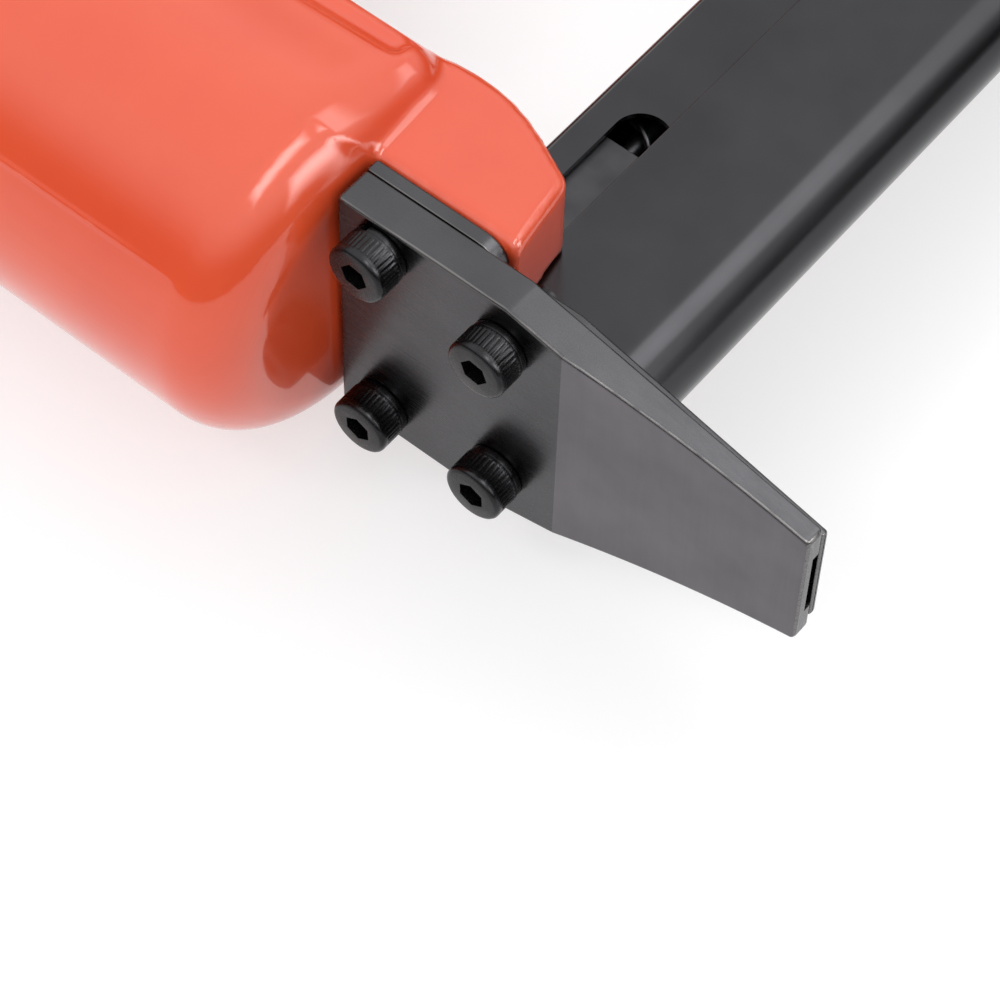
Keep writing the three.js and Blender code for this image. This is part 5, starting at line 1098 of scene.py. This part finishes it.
head_valve = turned("head_valve_disc", head_profile, "y", CYLINDER_CENTRE)
fit(head_valve, moulded_nylon, "black_plastic", "head_valve", "head_valve")
for name, node, ring_body in [
    ("sleeve_seal", "sleeve_o_ring", "housing"),
    ("piston_seal", "piston_o_ring", "driver"),
    ("valve_seal", "valve_o_ring", "housing"),
]:
    fit(o_ring(name, node), moulded_rubber, "seal_rubber", ring_body, node)
blade_low, blade_high = box_of("driver_blade")
blade_side = rectangle(blade_low[2], blade_low[1], blade_high[2], blade_high[1], (0.15, 0.15, 1, 1), 3)
blade = cut_out(
    bar("driver_strip", blade_side, "x", blade_low[0], blade_high[0], 0.08, 2),
    [plug("x", BLADE_PIN_HOLE, (0, piston_foot + DRIVER_PIN_RISE), 0, 8)],
)
fit(blade, plated_steel, "bright_steel", "driver", "driver_blade")

flange_y = box_of("trigger_valve_body")[0][1]
body_top = box_of("trigger_valve_body")[1][1]
valve_profile = [
    (0, 63), (3.2, 63, 0.3), (3.2, 52.7), (2.7, 52.7), (2.7, flange_y, 0.2), (8, flange_y, 0.4),
    (8, flange_y + 1.4, 0.3), (6.3, flange_y + 1.4), (6.3, flange_y + 4),
    (5, flange_y + 4), (5, flange_y + 5.9),
    (6.3, flange_y + 5.9), (6.3, body_top, 0.4), (0, body_top),
]
valve_body = cut_out(
    turned("trigger_valve_barrel", valve_profile, "y", (VALVE_X, 0)),
    [plug("x", VALVE_PORT, (0, VALVE_PORT_Y), VALVE_X - 10, VALVE_X + 10)],
)
fit(valve_body, turned_brass, "valve_brass", "housing", "trigger_valve_body")
stem_low, stem_high = box_of("valve_stem")
stem_profile = [
    (0, stem_low[1]), (1.2, stem_low[1], 0.3), (2.4, stem_low[1] + 1.2, 0.5), (2.4, 53), (2.9, 53, 0.2),
    (2.9, 55, 0.2), (1, 55), (1, stem_high[1], 0.2), (0, stem_high[1]),
]
stem = turned("valve_stem_rod", stem_profile, "y", (VALVE_X, 0))
fit(stem, plated_steel, "bright_steel", "valve_stem", "valve_stem")
PINS = {
    "driver_pin": ("x", "driver"), "pusher_rod": ("x", "housing"), "trigger_pin": ("z", "housing"),
    "latch_pin": ("z", "magazine_cover"),
}
for node, (way, pin_body) in PINS.items():
    low, high = box_of(node)
    along = "xyz".index(way)
    middle = (low + high) / 2
    radius = (high[1] - low[1]) / 2
    pin_centre = (middle[2], middle[1]) if way == "x" else (middle[0], middle[1])
    pin_profile = [
        (0, low[along]), (radius, low[along], 0.35), (radius, high[along], 0.35), (0, high[along])
    ]
    pin_steel = hardened_steel if node == "pusher_rod" else plated_steel
    fit(turned(node + "_turned", pin_profile, way, pin_centre, 48), pin_steel, "bright_steel", pin_body, node)
PLUG_SEAT, PLUG_LENGTH, PLUG_HEX, PLUG_FLAT_HALF = 182.1, 24, 7, 7
plug_profile = [
    (2.4, PLUG_SEAT - 10, 0.3), (5.5, PLUG_SEAT - 10, 0.6), (5.5, PLUG_SEAT),
    (7.2, PLUG_SEAT), (8.08, PLUG_SEAT + 0.7),
    (8.08, PLUG_SEAT + 6.3), (7.2, PLUG_SEAT + PLUG_HEX), (5, PLUG_SEAT + PLUG_HEX, 0.6),
    (5, PLUG_SEAT + 15.2, 0.4),
    (3.9, PLUG_SEAT + 15.6, 0.3), (3.9, PLUG_SEAT + 19, 0.3), (5, PLUG_SEAT + 19.4, 0.4),
    (3.9, PLUG_SEAT + PLUG_LENGTH, 0.6), (2.4, PLUG_SEAT + PLUG_LENGTH, 0.3),
]
air_plug = turned(
    "air_plug_turned", plug_profile, "x", (0, CHAMBER_Y),
    flats=(PLUG_SEAT, PLUG_SEAT + PLUG_HEX, PLUG_FLAT_HALF),
)
fit(air_plug, plated_steel, "bright_steel", "housing", "air_plug")

# Cylinder cap: an aluminium casting with a domed top, four screw holes and four exhaust holes, painted black.
# A fibre gasket seals it, and a moulded nylon deflector turns on it to send the exhaust air away.
CAP_LOW, CAP_SHOULDER, CAP_TOP, DOME_RADIUS = 80.9, 93.9, 98.4, 17
CAVITY_RADIUS, CAVITY_TOP, CAP_PITCH, CAP_PITCH_UP, SMALL_PITCH = 18, 91.9, 0.55, 0.5, 0.4
EXHAUST_OFFSET, EXHAUST_HOLE, DOME_ROUND, DOME_FILLET = 7.4 * math.sqrt(0.5), 1.8, 1.8, 1.6
DEFLECTOR_LOW, DEFLECTOR_TOP, DEFLECTOR_RADIUS, DEFLECTOR_WALL = 98.45, 104.45, 14.5, 1.6
DEFLECTOR_HUB, DEFLECTOR_HOLE, MOUTH_X, MOUTH_HALF_X, MOUTH_HALF_Z = 4.4, 2.15, -15.4, 9, 8


def cap_shape(x, y, z):
    """A square base with a round dome, hollow below, with its screw holes and four exhaust holes."""
    out, side = x - AXIS_X, np.abs(z)
    across = np.hypot(out, z)
    base = inside_square(out, z, HOUSING_RADIUS, HOUSING_RADIUS, TOP_FLANGE_CORNER)
    base = between(base, y, CAP_LOW, CAP_SHOULDER, CAST_EDGE)
    dome = between(across - DOME_RADIUS, y, CAP_LOW + 4, CAP_TOP, DOME_ROUND)
    whole = joined(base, dome, DOME_FILLET)
    exhaust = np.hypot(np.abs(out) - EXHAUST_OFFSET, side - EXHAUST_OFFSET) - EXHAUST_HOLE
    cap_hole = np.hypot(np.abs(out) - CAP_SPREAD, side - CAP_SPREAD) - CAP_HOLE
    holes = [
        between(across - CAVITY_RADIUS, y, CAP_LOW - 4, CAVITY_TOP),
        between(across - SMALL_HOLE, y, CAP_TOP - 5.3, CAP_TOP + 4),
        between(exhaust, y, CAP_LOW + 6.5, CAP_TOP + 4),
        between(cap_hole, y, CAP_LOW - 4, CAP_TOP + 4),
    ]
    for hole in holes:
        whole = cut_from(whole, hole)
    return whole


def deflector_shape(x, y, z):
    """A shallow cup upside down, with a hub for its screw and a mouth in one side."""
    out = x - AXIS_X
    across = np.hypot(out, z)
    cup = between(across - DEFLECTOR_RADIUS, y, DEFLECTOR_LOW - 2, DEFLECTOR_TOP, 1.2)
    roof = DEFLECTOR_TOP - DEFLECTOR_WALL
    hollow = between(across - DEFLECTOR_RADIUS + DEFLECTOR_WALL, y, DEFLECTOR_LOW - 4, roof)
    hollow = cut_from(hollow, across - DEFLECTOR_HUB)
    mouth = inside_square(out - MOUTH_X, z, MOUTH_HALF_X, MOUTH_HALF_Z, 1)
    shell = cut_from(cut_from(cup, hollow), between(mouth, y, DEFLECTOR_LOW - 4, roof))
    shell = cut_from(shell, across - DEFLECTOR_HOLE, 0.3)
    return cut_from(shell, y - DEFLECTOR_LOW, 0.3)


cap_x = planes(AXIS_X - HOUSING_RADIUS - 1, AXIS_X + HOUSING_RADIUS + 1, CAP_PITCH)
cap_z = planes(-HOUSING_RADIUS - 1, HOUSING_RADIUS + 1, CAP_PITCH)
cap = cast_piece("cap", cap_shape, cap_x, planes(CAP_LOW - 1, CAP_TOP + 1, CAP_PITCH_UP), cap_z)
deflector_span = DEFLECTOR_RADIUS + 1
deflector = cast_piece(
    "deflector",
    deflector_shape,
    planes(AXIS_X - deflector_span, AXIS_X + deflector_span, SMALL_PITCH),
    planes(DEFLECTOR_LOW - 1, DEFLECTOR_TOP + 1, SMALL_PITCH),
    planes(-deflector_span, deflector_span, SMALL_PITCH),
)
gasket_low, gasket_high = box_of("cap_gasket")
gasket_side = rectangle(
    AXIS_X - HOUSING_RADIUS, -HOUSING_RADIUS, AXIS_X + HOUSING_RADIUS, HOUSING_RADIUS, [TOP_FLANGE_CORNER] * 4
)
cap_corners = [(AXIS_X + s * CAP_SPREAD, t * CAP_SPREAD) for s in (1, -1) for t in (1, -1)]
gasket = cut_out(
    bar("gasket", gasket_side, "y", gasket_low[1], gasket_high[1], 0.1, 2),
    [plug("y", BORE_RADIUS, (AXIS_X, 0), gasket_low[1] - 2, gasket_high[1] + 2)]
    + [plug("y", CAP_HOLE, corner, gasket_low[1] - 2, gasket_high[1] + 2) for corner in cap_corners],
)
# Baked wrinkle-free black enamel over a sand-cast skin: satin, with a soft pebble of about half a millimetre.
cast_black = finish_of(
    "enamelled_black_casting", ("#222224", "#2A2A2C"), 12, 0.7, (0.36, 0.5), 0.015,
    worn="#454547", wear=(0.4, 0.9), Coat_Weight=0.3, Coat_Roughness=0.3,
)
# Pressed aramid fibre sheet: a dull dark green-grey with short loose fibres.
pressed_fibre = finish_of("pressed_fibre_sheet", ("#353A33", "#454B42"), 1.5, 0.25, (0.8, 0.95), 0.02)
fit(cap, cast_black, "black_casting", "housing", "cylinder_cap")
fit(deflector, moulded_nylon, "black_plastic", "deflector", "exhaust_deflector")
fit(gasket, pressed_fibre, "gasket_fibre", "housing", "cap_gasket")

# Trigger: a moulded nylon lever with a curved finger face. It turns on a plated pin between the casting's
# ears and presses the valve stem.
TRIGGER_LENGTH, TRIGGER_DEPTH, TRIGGER_HALF, TRIGGER_BOSS, TRIGGER_HOLE = 29, 10.2, 6.6, 4.4, 2.05
# The lever's side, from the pivot, in shares of its length and its depth.
TRIGGER_SHARES = [
    (-0.15, 0), (-0.05, -0.8, 1.5), (0.05, -1, 1), (0.2, -0.93, 3), (0.42, -0.56, 12), (0.7, -0.4, 20),
    (1, -0.3, 1.2), (0.98, -0.04, 1), (0.72, 0.165, 8), (0.59, 0.235), (0.45, 0.265), (0.14, 0.34), (0, 0.43),
]
trigger_side = [
    (PIVOT_X + u * TRIGGER_LENGTH, PIVOT_Y + v * TRIGGER_DEPTH, *radius) for u, v, *radius in TRIGGER_SHARES
]
trigger_side = outline(trigger_side, 5)


def trigger_shape(x, y, z):
    """A lever with rounded sides and a round boss about its pin hole."""
    from_pivot = np.hypot(x - PIVOT_X, y - PIVOT_Y)
    lever = between(inside_outline(x, y, trigger_side), z, -TRIGGER_HALF, TRIGGER_HALF, 0.9)
    boss = between(from_pivot - TRIGGER_BOSS, z, -TRIGGER_HALF, TRIGGER_HALF, 0.6)
    return cut_from(joined(lever, boss, 0.8), from_pivot - TRIGGER_HOLE)


trigger = cast_piece(
    "trigger_lever",
    trigger_shape,
    planes(PIVOT_X - 6, PIVOT_X + TRIGGER_LENGTH + 1, SMALL_PITCH),
    planes(PIVOT_Y - TRIGGER_DEPTH - 1, PIVOT_Y + 6, SMALL_PITCH),
    planes(-TRIGGER_HALF - 1, TRIGGER_HALF + 1, SMALL_PITCH),
)
fit(trigger, moulded_nylon, "black_plastic", "trigger", "trigger")

# Rear end: an aluminium end cap screwed on the handle's flange, with a moulded rubber guard round it that the
# tool rests on.
END_CAP_X, END_BOSS_X, END_BOSS_RADIUS, INLET_RADIUS = (168.05, 177.05), 182.05, 9.2, 5.8
GUARD_X, GUARD_CORNER, GUARD_EDGE, GUARD_HOLE = (168.3, 177.05), 10, 1.8, 17.5
GUARD_GROOVES, GUARD_GROOVE_DEPTH, END_PITCH, GUARD_PITCH = (171.6, 173.9), 0.6, 0.5, 0.6


def end_cap_shape(x, y, z):
    """A square plate with a round boss, bored for the inlet and drilled for four screws."""
    up, side = y - CHAMBER_Y, np.abs(z)
    across = np.hypot(up, z)
    plate = between(
        inside_square(up, z, END_FLANGE_HALF, END_FLANGE_HALF, END_FLANGE_CORNER), x, *END_CAP_X, CAST_EDGE
    )
    boss = between(across - END_BOSS_RADIUS, x, END_CAP_X[0] + 3, END_BOSS_X, 0.8)
    holes = np.hypot(np.abs(up) - END_SPREAD, side - END_SPREAD) - SMALL_HOLE
    return cut_from(cut_from(joined(plate, boss, 1.5), across - INLET_RADIUS), holes)


def guard_shape(x, y, z):
    """A thick square ring with shallow grooves moulded round it."""
    up = y - CHAMBER_Y
    outer = between(
        inside_square(up, z, HOUSING_RADIUS, HOUSING_RADIUS, GUARD_CORNER), x, *GUARD_X, GUARD_EDGE
    )
    ring = cut_from(outer, inside_square(up, z, GUARD_HOLE, GUARD_HOLE, END_FLANGE_CORNER), 0.6)
    for groove_x in GUARD_GROOVES:
        rib = np.hypot(outer, x - groove_x) - GUARD_GROOVE_DEPTH
        ring = cut_from(ring, rib, 0.4)
    return ring


end_span = planes(CHAMBER_Y - END_FLANGE_HALF - 1, CHAMBER_Y + END_FLANGE_HALF + 1, END_PITCH)
end_cap = cast_piece(
    "end_cap", end_cap_shape, planes(END_CAP_X[0] - 1, END_BOSS_X + 1, END_PITCH), end_span,
    end_span - CHAMBER_Y,
)
guard_span = planes(CHAMBER_Y - HOUSING_RADIUS - 1, CHAMBER_Y + HOUSING_RADIUS + 1, GUARD_PITCH)
guard = cast_piece(
    "guard", guard_shape, planes(GUARD_X[0] - 1, GUARD_X[1] + 1, SMALL_PITCH), guard_span,
    guard_span - CHAMBER_Y,
)
fit(end_cap, cast_black, "black_casting", "housing", "rear_end_cap")
fit(guard, moulded_rubber, "guard_rubber", "housing", "rear_guard")

# Magazine's rear end: a folded steel bracket hangs it from the handle, a cast block closes the rail, and the
# cover's cast grip carries the sprung latch lever that holds it shut.
BRACKET_X, BRACKET_HALF, BRACKET_THICK, BRACKET_BEND = 168, 7.5, 3, 1.2
BRACKET_FOOT, BRACKET_TOE = 157, 181
GRIP_X, GRIP_HALF, GRIP_Y, GRIP_CORNER, GRIP_EDGE = (190.65, 206.65), 8, (-36.4, -14), 4, 1.2
LATCH_X, LATCH_Y, LATCH_HALF = 197.65, -9, 5
GROOVE_PITCH, GROOVE_RADIUS, GROOVE_RISE = 2.6, 0.8, 0.25
LATCH_EAR_RADIUS, LATCH_EARS, LATCH_HOLE = 4, (5.3, 7.7), 1.4
LATCH_FLOOR, LATCH_ROOF, LATCH_NOSE, LATCH_BOSS, LEVER_HOLE = 3.3, 5.9, -14, 3.2, 1.55
ROD_SEAT, ROD_SEAT_DEPTH, BLOCK_HOLE_FLOOR = 1.4, 4.3, -13.3
bracket_top, bracket_base = box_of("hanger_bracket")[1][1], box_of("hanger_bracket")[0][1]
bracket_side = outline(
    [
        (BRACKET_FOOT, bracket_top), (BRACKET_X, bracket_top, BRACKET_BEND + BRACKET_THICK),
        (BRACKET_X, bracket_base + BRACKET_THICK, BRACKET_BEND), (BRACKET_TOE, bracket_base + BRACKET_THICK),
        (BRACKET_TOE, bracket_base), (BRACKET_X - BRACKET_THICK, bracket_base, BRACKET_BEND + BRACKET_THICK),
        (BRACKET_X - BRACKET_THICK, bracket_top - BRACKET_THICK, BRACKET_BEND),
        (BRACKET_FOOT, bracket_top - BRACKET_THICK),
    ]
)
bracket = cut_out(
    bar("bracket", bracket_side, "z", -BRACKET_HALF, BRACKET_HALF, 0.4),
    [plug("y", BRACKET_HOLE, hole, bracket_top - 5, bracket_top + 2) for hole in BRACKET_HOLES]
    + [plug("y", BRACKET_HOLE, (FOOT_SCREW_X, 0), bracket_base - 2, bracket_base + 5)],
)
fit(bracket, blackened_sheet, "black_steel", "housing", "hanger_bracket")
block_low, block_high = box_of("magazine_end_block")
block_side = rectangle(block_low[2], block_low[1], block_high[2], block_high[1], [0.6] * 4, 3)
end_block = cut_out(
    bar("end_block", block_side, "x", block_low[0], block_high[0], 0.4),
    [
        plug("x", ROD_SEAT, (0, ROD_Y), block_low[0] - 2, block_low[0] + ROD_SEAT_DEPTH),
        plug("y", BRACKET_HOLE, (FOOT_SCREW_X, 0), BLOCK_HOLE_FLOOR, 0),
    ],
)
fit(end_block, cast_black, "black_casting", "housing", "magazine_end_block")
grip_side = outline(
    [
        (GRIP_X[0], GRIP_Y[1]), (GRIP_X[0], GRIP_Y[0]),
        (GRIP_X[1], GRIP_Y[0], GRIP_CORNER), (GRIP_X[1], GRIP_Y[1]),
    ]
)
latch_ear_side = ear_outline(
    LATCH_X, LATCH_Y + LATCH_EAR_RADIUS, LATCH_EAR_RADIUS, GRIP_Y[1] - 2, LATCH_EAR_RADIUS - 0.3
)


def grip_shape(x, y, z):
    """A rounded block with grip grooves in both sides, and two ears that hold the latch's pin."""
    side = np.abs(z)
    block = between(inside_outline(x, y, grip_side), z, -GRIP_HALF, GRIP_HALF, GRIP_EDGE)
    for groove_y in np.arange(GRIP_Y[0] + 5, GRIP_Y[1] - 4, GROOVE_PITCH):
        groove = np.hypot(y - groove_y, side - GRIP_HALF - GROOVE_RISE) - GROOVE_RADIUS
        block = cut_from(block, groove, 0.4)
    ears = between(inside_outline(x, y, latch_ear_side), side, *LATCH_EARS, 0.4)
    return cut_from(joined(block, ears, 0.6), np.hypot(x - LATCH_X, y - LATCH_Y) - LATCH_HOLE)


grip = cast_piece(
    "grip",
    grip_shape,
    planes(GRIP_X[0] - 1, GRIP_X[1] + 1, SMALL_PITCH),
    planes(GRIP_Y[0] - 1, LATCH_Y + 6, SMALL_PITCH),
    planes(-GRIP_HALF - 1, GRIP_HALF + 1, SMALL_PITCH),
)
fit(grip, cast_black, "black_casting", "magazine_cover", "cover_grip")
lever_side = outline(
    [
        (LATCH_NOSE, LATCH_FLOOR, 0.4), (-LATCH_BOSS, LATCH_FLOOR), (-LATCH_BOSS, 0),
        (-2.3, -2.3, 0.8), (0, -LATCH_BOSS), (2.3, -2.3, 0.8), (LATCH_BOSS, 0), (LATCH_BOSS, LATCH_FLOOR),
        (8.3, LATCH_FLOOR, 4), (13, LATCH_FLOOR + 2, 0.6), (13, LATCH_ROOF + 2, 0.8), (8.3, LATCH_ROOF, 4),
        (-LATCH_BOSS, LATCH_ROOF, 4), (LATCH_NOSE, LATCH_ROOF - 0.4, 0.6),
    ],
    4,
)
lever_side[:, :2] += (LATCH_X, LATCH_Y)
lever = cut_out(
    bar("latch", lever_side, "z", -LATCH_HALF, LATCH_HALF, 0.3),
    [plug("z", LEVER_HOLE, (LATCH_X, LATCH_Y), -LATCH_HALF - 2, LATCH_HALF + 2)],
)
fit(lever, blackened_sheet, "black_steel", "latch", "latch_lever")

# Studio: a white table under a white sky, with a small lamp that gives the shadows some edge and a large soft
# one. Neither shows in gloss, where a dome of lit fabric does. The camera looks at the nose from above.
CAMERA_ELEVATION, CAMERA_ROLL, CAMERA_HEADING = map(math.radians, (56.98, 2.02, 52.506))
CAMERA_LENS, CAMERA_TARGET, CAMERA_DISTANCE = 130.86, (-104.34, -52.61, 23.25), 373.4
forward_flat = Vector((math.sin(CAMERA_HEADING), math.cos(CAMERA_HEADING), 0))
right_flat = Vector((math.cos(CAMERA_HEADING), -math.sin(CAMERA_HEADING), 0))
up_tilted = forward_flat * math.sin(CAMERA_ELEVATION) + Vector((0, 0, math.cos(CAMERA_ELEVATION)))
forward = forward_flat * math.cos(CAMERA_ELEVATION) - Vector((0, 0, math.sin(CAMERA_ELEVATION)))
right = right_flat * math.cos(CAMERA_ROLL) + up_tilted * math.sin(CAMERA_ROLL)
up = up_tilted * math.cos(CAMERA_ROLL) - right_flat * math.sin(CAMERA_ROLL)
camera = bpy.data.objects.new("camera", bpy.data.cameras.new("camera"))
camera.data.sensor_width, camera.data.lens, camera.data.clip_start = 36, CAMERA_LENS, 0.01
turn = Matrix((right, up, -forward)).transposed().to_4x4()
place = Vector(CAMERA_TARGET) * MILLIMETRE - forward * CAMERA_DISTANCE * MILLIMETRE
camera.matrix_world = Matrix.Translation(place) @ turn
bpy.context.scene.collection.objects.link(camera)
bpy.context.scene.camera = camera

LAMPS = {
    "window_lamp": ((-0.55, 0.35, 0.75), 0.2, 1.0),
    "soft_lamp": ((0.5, 0.45, 1.0), 0.9, 3.0),
}
LAMP_AIM = (-0.06, 0, 0.02)
for name, (lamp_place, size, power) in LAMPS.items():
    lamp = bpy.data.objects.new(name, bpy.data.lights.new(name, "AREA"))
    lamp.data.shape, lamp.data.size, lamp.data.energy = "SQUARE", size, power
    lamp.location = lamp_place
    lamp.rotation_euler = (Vector(LAMP_AIM) - lamp.location).to_track_quat("-Z", "Y").to_euler()
    lamp.visible_camera = lamp.visible_glossy = False
    bpy.context.scene.collection.objects.link(lamp)


# A dome that shows only as a reflection in gloss: dark near the table, pale above, with three soft boxes.
# A soft box is (across from, to), (along from, to) as shares of the direction it is seen in, and a glow.
DOME_RADIUS_M, DOME_TURNS, DOME_RINGS, DOME_TOP_DEGREES = 2, 180, 45, 89
DOME_LOW_GLOW, DOME_HIGH_GLOW, DOME_RISE = 0.03, 1.5, (0.2, 0.7)
SOFT_BOXES = [
    ((0.37, 0.5), (-0.56, -0.16), 4.5),
    ((-0.4, 0.14), (-0.41, -0.33), 9),
    ((-0.02, 0.3), (-0.85, -0.79), 9),
]
SOFT_BOX_FADE = 0.12


def dome_glow(x, y, z):
    """How strongly the dome glows in a direction."""
    share = min(max((z - DOME_RISE[0]) / (DOME_RISE[1] - DOME_RISE[0]), 0), 1)
    glow = DOME_LOW_GLOW + (DOME_HIGH_GLOW - DOME_LOW_GLOW) * share * share * (3 - 2 * share)
    for across, along, box_glow in SOFT_BOXES:
        outside = max(across[0] - x, x - across[1], along[0] - y, y - along[1], 0)
        glow = max(glow, box_glow * max(1 - outside / SOFT_BOX_FADE, 0))
    return glow


dome_directions = []
for ring in range(DOME_RINGS):
    rise = math.radians(DOME_TOP_DEGREES * ring / (DOME_RINGS - 1))
    for k in range(DOME_TURNS):
        a = 2 * math.pi * k / DOME_TURNS
        dome_directions.append((math.cos(rise) * math.cos(a), math.cos(rise) * math.sin(a), math.sin(rise)))
dome_faces = [
    (r * DOME_TURNS + k, r * DOME_TURNS + (k + 1) % DOME_TURNS, (r + 1) * DOME_TURNS + (k + 1) % DOME_TURNS,
     (r + 1) * DOME_TURNS + k)
    for r in range(DOME_RINGS - 1)
    for k in range(DOME_TURNS)
]
dome_faces.append(tuple(range((DOME_RINGS - 1) * DOME_TURNS, DOME_RINGS * DOME_TURNS)))
dome_mesh = bpy.data.meshes.new("studio_dome")
dome_mesh.from_pydata([[DOME_RADIUS_M * part for part in d] for d in dome_directions], [], dome_faces)
dome_mesh.attributes.new("glow", "FLOAT", "POINT").data.foreach_set(
    "value", [dome_glow(*d) for d in dome_directions]
)
# White fabric lit from behind: plain light, as strong as the glow of each point.
dome_light = bpy.data.materials.new("lit_studio_fabric")
dome_light.use_nodes = True
glow = add_node(dome_light.node_tree, "ShaderNodeAttribute", attribute_name="glow").outputs["Fac"]
lit = add_node(dome_light.node_tree, "ShaderNodeEmission", {"Strength": glow})
dome_light.node_tree.links.new(
    lit.outputs[0], dome_light.node_tree.nodes["Material Output"].inputs["Surface"]
)
dome_mesh.materials.append(dome_light)
dome = bpy.data.objects.new("studio_dome", dome_mesh)
bpy.context.scene.collection.objects.link(dome)
dome.visible_camera = dome.visible_diffuse = dome.visible_shadow = dome.visible_transmission = False

SKY_STRENGTH = 0.85
world = bpy.data.worlds.new("studio")
bpy.context.scene.world = world
world.use_nodes = True
sky_tree = world.node_tree
rays = add_node(sky_tree, "ShaderNodeLightPath").outputs
seen = add_node(
    sky_tree, "ShaderNodeMath", {0: rays["Is Camera Ray"], 1: rays["Is Glossy Ray"]}, operation="MAXIMUM"
)
seen = add_node(
    sky_tree, "ShaderNodeMath", {0: seen.outputs[0], 1: rays["Is Transmission Ray"]}, operation="MAXIMUM"
)
strength = add_node(
    sky_tree, "ShaderNodeMapRange", {"Value": seen.outputs[0], "To Min": SKY_STRENGTH, "To Max": 1.0}
)
background = sky_tree.nodes["Background"]
background.inputs["Color"].default_value = (1, 1, 1, 1)
sky_tree.links.new(strength.outputs["Result"], background.inputs["Strength"])

FLOOR_HALF = 3
floor_mesh = bpy.data.meshes.new("floor")
floor_corners = [(s * FLOOR_HALF, t * FLOOR_HALF, 0) for s, t in ((-1, -1), (1, -1), (1, 1), (-1, 1))]
floor_mesh.from_pydata(floor_corners, [], [(0, 1, 2, 3)])
floor = bpy.data.objects.new("floor", floor_mesh)
bpy.context.scene.collection.objects.link(floor)
# Matt white laminate table top. To the camera and in gloss it is part its own lit colour, with its shadows,
# and part plain white, so that the background stays as pale as the photograph's.
TABLE_SHARE_SEEN, TABLE_WHITE_SEEN = "#ADADAF", 0.62
table_white = finish_of("matt_white_laminate", ("#F2F2F3", "#F4F4F5"), 60, 2, (0.5, 0.6), 0.0)
table_tree = table_white.node_tree
table_shader = table_tree.nodes["Principled BSDF"]
table_rays = add_node(table_tree, "ShaderNodeLightPath").outputs
table_seen = add_node(
    table_tree, "ShaderNodeMath", {0: table_rays["Is Camera Ray"], 1: table_rays["Is Glossy Ray"]},
    operation="MAXIMUM",
).outputs[0]
own_tone = table_shader.inputs["Base Color"].links[0].from_socket
seen_tone = add_node(
    table_tree, "ShaderNodeMix", {0: table_seen, 6: own_tone, 7: colour(TABLE_SHARE_SEEN)}, data_type="RGBA"
).outputs[2]
seen_white = add_node(
    table_tree, "ShaderNodeMath", {0: table_seen, 1: TABLE_WHITE_SEEN}, operation="MULTIPLY"
).outputs[0]
table_tree.links.new(seen_tone, table_shader.inputs["Base Color"])
table_tree.links.new(seen_white, table_shader.inputs["Emission Strength"])
table_shader.inputs["Emission Color"].default_value = (1, 1, 1, 1)
floor_mesh.materials.append(table_white)

bpy.context.scene.view_settings.view_transform = "Standard"
